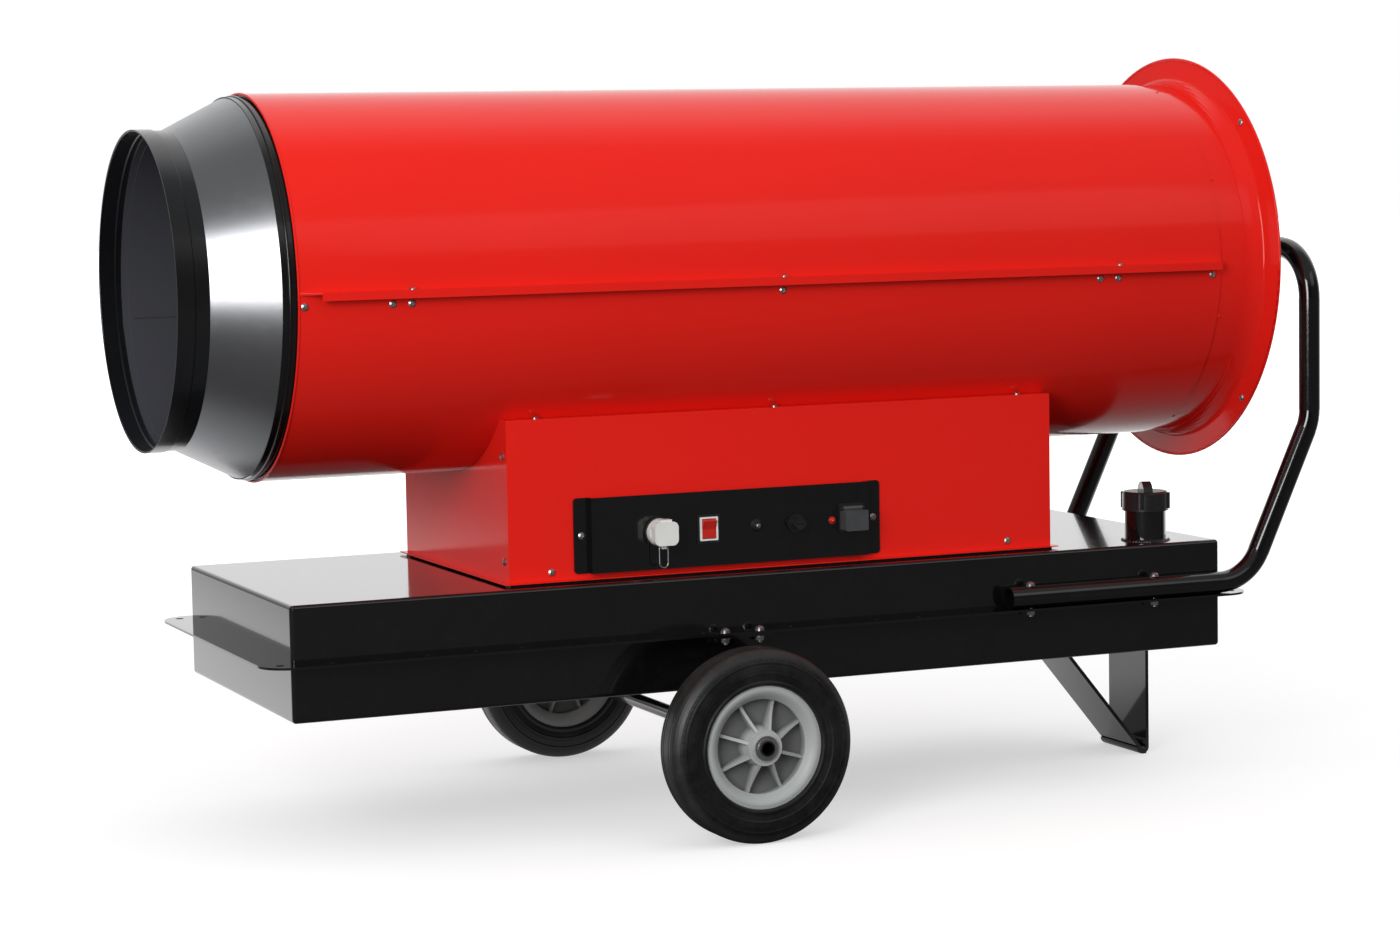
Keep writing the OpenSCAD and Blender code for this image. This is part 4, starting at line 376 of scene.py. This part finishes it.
def studs(name, centres, along, across, out, look, rider, finish):
    # many small ellipsoids: centre + length * cos(u) * along + width * sin(u) cos(v) * across
    # + height * sin(u) sin(v) * out, with u from 0 to pi and v around; one mesh, one grid for each centre
    u = np.linspace(0, np.pi, look["rows"])[None, :, None, None]
    v = np.linspace(0, 2 * np.pi, look["columns"], endpoint=False)[None, None, :, None]
    centres, along, across, out = (np.broadcast_to(np.asarray(a, dtype=float), (len(centres), 3))[:, None, None, :]
                                   for a in (centres, along, across, out))
    points = (centres + look["length"] * np.cos(u) * along + look["width"] * np.sin(u) * np.cos(v) * across
              + look["height"] * np.sin(u) * np.sin(v) * out)
    count, rows, columns = points.shape[:3]
    k, i, j = np.meshgrid(np.arange(count), np.arange(rows - 1), np.arange(columns), indexing="ij")
    nj = (j + 1) % columns
    first = (k * rows + i) * columns
    corners = np.stack([first + j, first + columns + j, first + columns + nj, first + nj], axis=-1).reshape(-1, 4)
    solid(name, points.reshape(-1, 3), corners, rider, finish)


weld = {"radius": 0.0018, "wave": 0.2, "pitch": 0.004, "sides": 8}
neckWeld = {"ring": 0.0322, "steps": 240, "neckHeight": 0.0618}
legWeld = {"tab": 0.028, "endIn": 0.006, "drop": 0.0012, "steps": 160}


def addWelds():
    # a ring of weld around the filler neck's foot and two straight ones under the tank, one at each tab of the leg
    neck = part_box("filler_neck")
    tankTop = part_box("filler_strainer")[1][2] - neckWeld["neckHeight"]
    middle = [(neck[0][i] + neck[1][i]) / 2 for i in range(2)]
    turn = np.linspace(0, 2 * np.pi, neckWeld["steps"], endpoint=False)
    ring = np.stack([middle[0] + neckWeld["ring"] * np.cos(turn), middle[1] + neckWeld["ring"] * np.sin(turn),
                     np.full_like(turn, tankTop)], axis=-1)
    bead("neckWeld", ring, {**weld, **neckWeld, "closed": True, "up": (0, 0, 1)}, "heater", "blackPaint")
    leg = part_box("support_leg")
    for number, place in enumerate((leg[0][0], leg[1][0] - legWeld["tab"])):
        across = np.linspace(leg[0][1] + legWeld["endIn"], leg[1][1] - legWeld["endIn"], legWeld["steps"])
        line = np.stack([np.full_like(across, place), across, np.full_like(across, leg[1][2] - legWeld["drop"])],
                        axis=-1)
        bead(f"legWeld{number}", line, {**weld, **legWeld, "up": (0, 0, 1)}, "heater", "blackPaint")


spotWeld = {"start": 0.09, "pitch": 0.0625, "in": 0.019, "z": 0.2575, "length": 0.003, "width": 0.003,
            "height": 0.0003, "rows": 5, "columns": 10}


def addSpotWelds():
    # a row of shallow spot welds along both sides of the tank's flange
    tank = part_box("tank_upper_tray")
    along = np.arange(tank[0][0] + spotWeld["start"], tank[1][0] - spotWeld["start"], spotWeld["pitch"])
    y = np.concatenate([np.full_like(along, tank[0][1] + spotWeld["in"]),
                        np.full_like(along, tank[1][1] - spotWeld["in"])])
    centres = np.stack([np.tile(along, 2), y, np.full_like(y, spotWeld["z"])], axis=-1)
    studs("spotWelds", centres, (1, 0, 0), (0, 1, 0), (0, 0, 1), spotWeld, "heater", "blackPaint")


tick = {"count": 90, "radius": 0.1145, "off": 0.0271, "slope": 62.0, "length": 0.0028, "width": 0.0007,
        "height": 0.0005, "rows": 5, "columns": 6}


def addTicks(side):
    # short moulded ribs around the shoulder of a tyre, on both its sides: number k stands at the angle
    # 2 pi k / count and at tick's radius, and lies along the shoulder's slope there
    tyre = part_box(f"{side}_tyre")
    middle = np.array([(tyre[0][i] + tyre[1][i]) / 2 for i in range(3)])
    turn = np.arange(tick["count"]) * 2 * np.pi / tick["count"]
    radial = np.stack([np.cos(turn), np.zeros_like(turn), np.sin(turn)], axis=-1)
    around = np.stack([-np.sin(turn), np.zeros_like(turn), np.cos(turn)], axis=-1)
    sideways = np.array([0.0, 1.0, 0.0])
    slope = math.radians(tick["slope"])
    for number, out in enumerate((-1, 1)):
        centres = middle + radial * tick["radius"] + out * sideways * tick["off"]
        along = radial * math.cos(slope) - out * sideways * math.sin(slope)
        outward = radial * math.sin(slope) + out * sideways * math.cos(slope)
        studs(f"{side}Ticks{number}", centres, along, around, outward, tick, f"{side}_wheel", "tyre")


lapSeam = {"angle": -12.0, "from": -0.763, "to": -0.607, "radiusAt": 0.1995, "axisHeight": 0.714,
           "radius": 0.0012, "wave": 0.05, "pitch": 0.006, "sides": 8, "steps": 120}


def addLapSeam():
    # the lap seam of the sleeve inside the cone: one bead along the casing's axis on the far inner wall
    angle = math.radians(lapSeam["angle"])
    x = np.linspace(lapSeam["from"], lapSeam["to"], lapSeam["steps"])
    line = np.stack([x, np.full_like(x, lapSeam["radiusAt"] * math.cos(angle)),
                     np.full_like(x, lapSeam["axisHeight"] + lapSeam["radiusAt"] * math.sin(angle))], axis=-1)
    bead("lapSeam", line, {**lapSeam, "up": (0, math.cos(angle), math.sin(angle))}, "heater", "conePaint")


addWelds()
addSpotWelds()
addTicks("left")
addTicks("right")
addLapSeam()
print("stage 3: welds, tyre ribs and lap seam")

# camera, light and floor

shot = {"place": (-1.8320, -4.2096, 0.8748), "yaw": -23.196, "pitch": -5.308, "roll": -1.051, "lens": 86.2,
        "sensor": 36.0, "reach": 100.0}


def addCamera(look):
    # the camera looks along d = (-sin yaw cos pitch, cos yaw cos pitch, sin pitch) and is then rolled about d
    yaw, pitch, roll = (math.radians(look[k]) for k in ("yaw", "pitch", "roll"))
    ahead = Vector((-math.sin(yaw) * math.cos(pitch), math.cos(yaw) * math.cos(pitch), math.sin(pitch)))
    right = ahead.cross(Vector((0, 0, 1))).normalized()
    up = right.cross(ahead)
    rolledRight = right * math.cos(roll) + up * math.sin(roll)
    rolledUp = up * math.cos(roll) - right * math.sin(roll)
    data = bpy.data.cameras.new("photoCamera")
    data.lens, data.sensor_width, data.clip_end = look["lens"], look["sensor"], look["reach"]
    camera = bpy.data.objects.new("photoCamera", data)
    turn = Matrix((rolledRight, rolledUp, -ahead)).transposed().to_4x4()
    camera.matrix_world = Matrix.Translation(look["place"]) @ turn
    bpy.context.scene.collection.objects.link(camera)
    bpy.context.scene.camera = camera


addCamera(shot)

studio = {
    "lamps": [("softBox", (-3.25, -3.3, 1.7), (0.0, 0.0, 0.6), 1.6, 2.7, 116),
              ("weakBox", (2.2, -4.2, 3.4), (0.1, 0.0, 0.7), 3.0, 2.0, 9)],
    "skyLow": 0.46, "skyHigh": 0.5, "skyTop": 0.8,
    "mirrorFront": 0.07, "frontRange": (-0.15, 0.35),
    "mirrorWest": 0.25, "westRange": (-0.35, 0.05),
    "mirrorCeiling": 0.25, "ceilingRange": (0.25, 0.55)}


def addStudio(look):
    # the world: plain white to the camera; diffuse light that rises from skyLow at the horizon by skyHigh towards
    # the top; and for mirrored rays the white backdrop behind the object, a dim room on the camera's side and to
    # the west, and a grey ceiling; a range is that of the ray's north, east or upward share
    scene = bpy.context.scene
    scene.view_settings.view_transform = "Standard"
    for name, place, target, width, height, power in look["lamps"]:
        data = bpy.data.lights.new(name, "AREA")
        data.shape, data.size, data.size_y, data.energy = "RECTANGLE", width, height, power
        lamp = bpy.data.objects.new(name, data)
        aim = (Vector(target) - Vector(place)).to_track_quat("-Z", "Y")
        lamp.matrix_world = Matrix.Translation(place) @ aim.to_matrix().to_4x4()
        scene.collection.objects.link(lamp)
    w = Finish("studioWorld", bpy.data.worlds, "ShaderNodeOutputWorld")
    scene.world = w.material
    east, north, up = w.axes("Generated")
    seen = w.rays("Camera", "Transmission")
    glossy = w.rays("Glossy")
    mirrored = north.ramp(*look["frontRange"]) * (1 - look["mirrorFront"]) + look["mirrorFront"]
    mirrored = mirrored * (east.ramp(*look["westRange"]) * (1 - look["mirrorWest"]) + look["mirrorWest"])
    mirrored = mirrored.most(up.ramp(*look["ceilingRange"]) * look["mirrorCeiling"])
    soft = up.ramp(0.0, look["skyTop"]) * look["skyHigh"] + look["skyLow"]
    light = glossy * (mirrored - soft) + soft
    strength = seen * (1 - light) + light
    ground = w.add("ShaderNodeBackground", None, {"Color": (1.0, 1.0, 1.0, 1.0), "Strength": strength})
    w.tree.links.new(ground.socket, w.output.inputs[0])


stageFloor = {"colour": (0.6, 0.6, 0.6), "speckShare": 0.985, "speckScale": 40.0, "roughness": 0.9,
              "dimShare": 0.16, "side": 30.0, "glow": 0.5, "glowFar": 1.0, "near": 1.6, "far": 4.5,
              "mirrorFrom": -0.3, "mirrorTo": 0.6, "westFrom": -1.7, "westTo": -1.0, "westShare": 0.1}


def addFloor(look):
    # a flat square far larger than the view; to camera and transmitted rays, and to mirrored ones behind the
    # object, it also glows, by more with the distance, so that it is white and keeps only the object's shadow;
    # to all other rays it is dimmer, by dimShare
    side = look["side"]
    mesh = bpy.data.meshes.new("floor")
    mesh.from_pydata([(-side, -side, 0), (side, -side, 0), (side, side, 0), (-side, side, 0)], [], [(0, 1, 2, 3)])
    floor = bpy.data.objects.new("floor", mesh)
    bpy.context.scene.collection.objects.link(floor)
    f = Finish("floor")
    x, y, z = f.axes()
    away = (x * x + y * y).root().ramp(look["near"], look["far"])
    behind = y.ramp(look["mirrorFrom"], look["mirrorTo"]) * (
        x.ramp(look["westFrom"], look["westTo"]) * (1 - look["westShare"]) + look["westShare"])
    shown = f.rays("Camera", "Transmission").most(f.rays("Glossy") * behind)
    glow = (away * (look["glowFar"] - look["glow"]) + look["glow"]) * shown
    speck = f.noise(look["speckScale"])
    colour = f.blend(look["colour"], tuple(c * look["speckShare"] for c in look["colour"]), speck)
    colour = f.blend(tuple(c * look["dimShare"] for c in look["colour"]), colour, shown)
    f.close(colour=colour, roughness=look["roughness"], specular=0.0, glow=1.0,
            glowColour=f.blend((0.0, 0.0, 0.0), (1.0, 1.0, 1.0), glow))
    mesh.materials.append(f.material)


addStudio(studio)
addFloor(stageFloor)
print("stage 4: camera, lamps and floor")
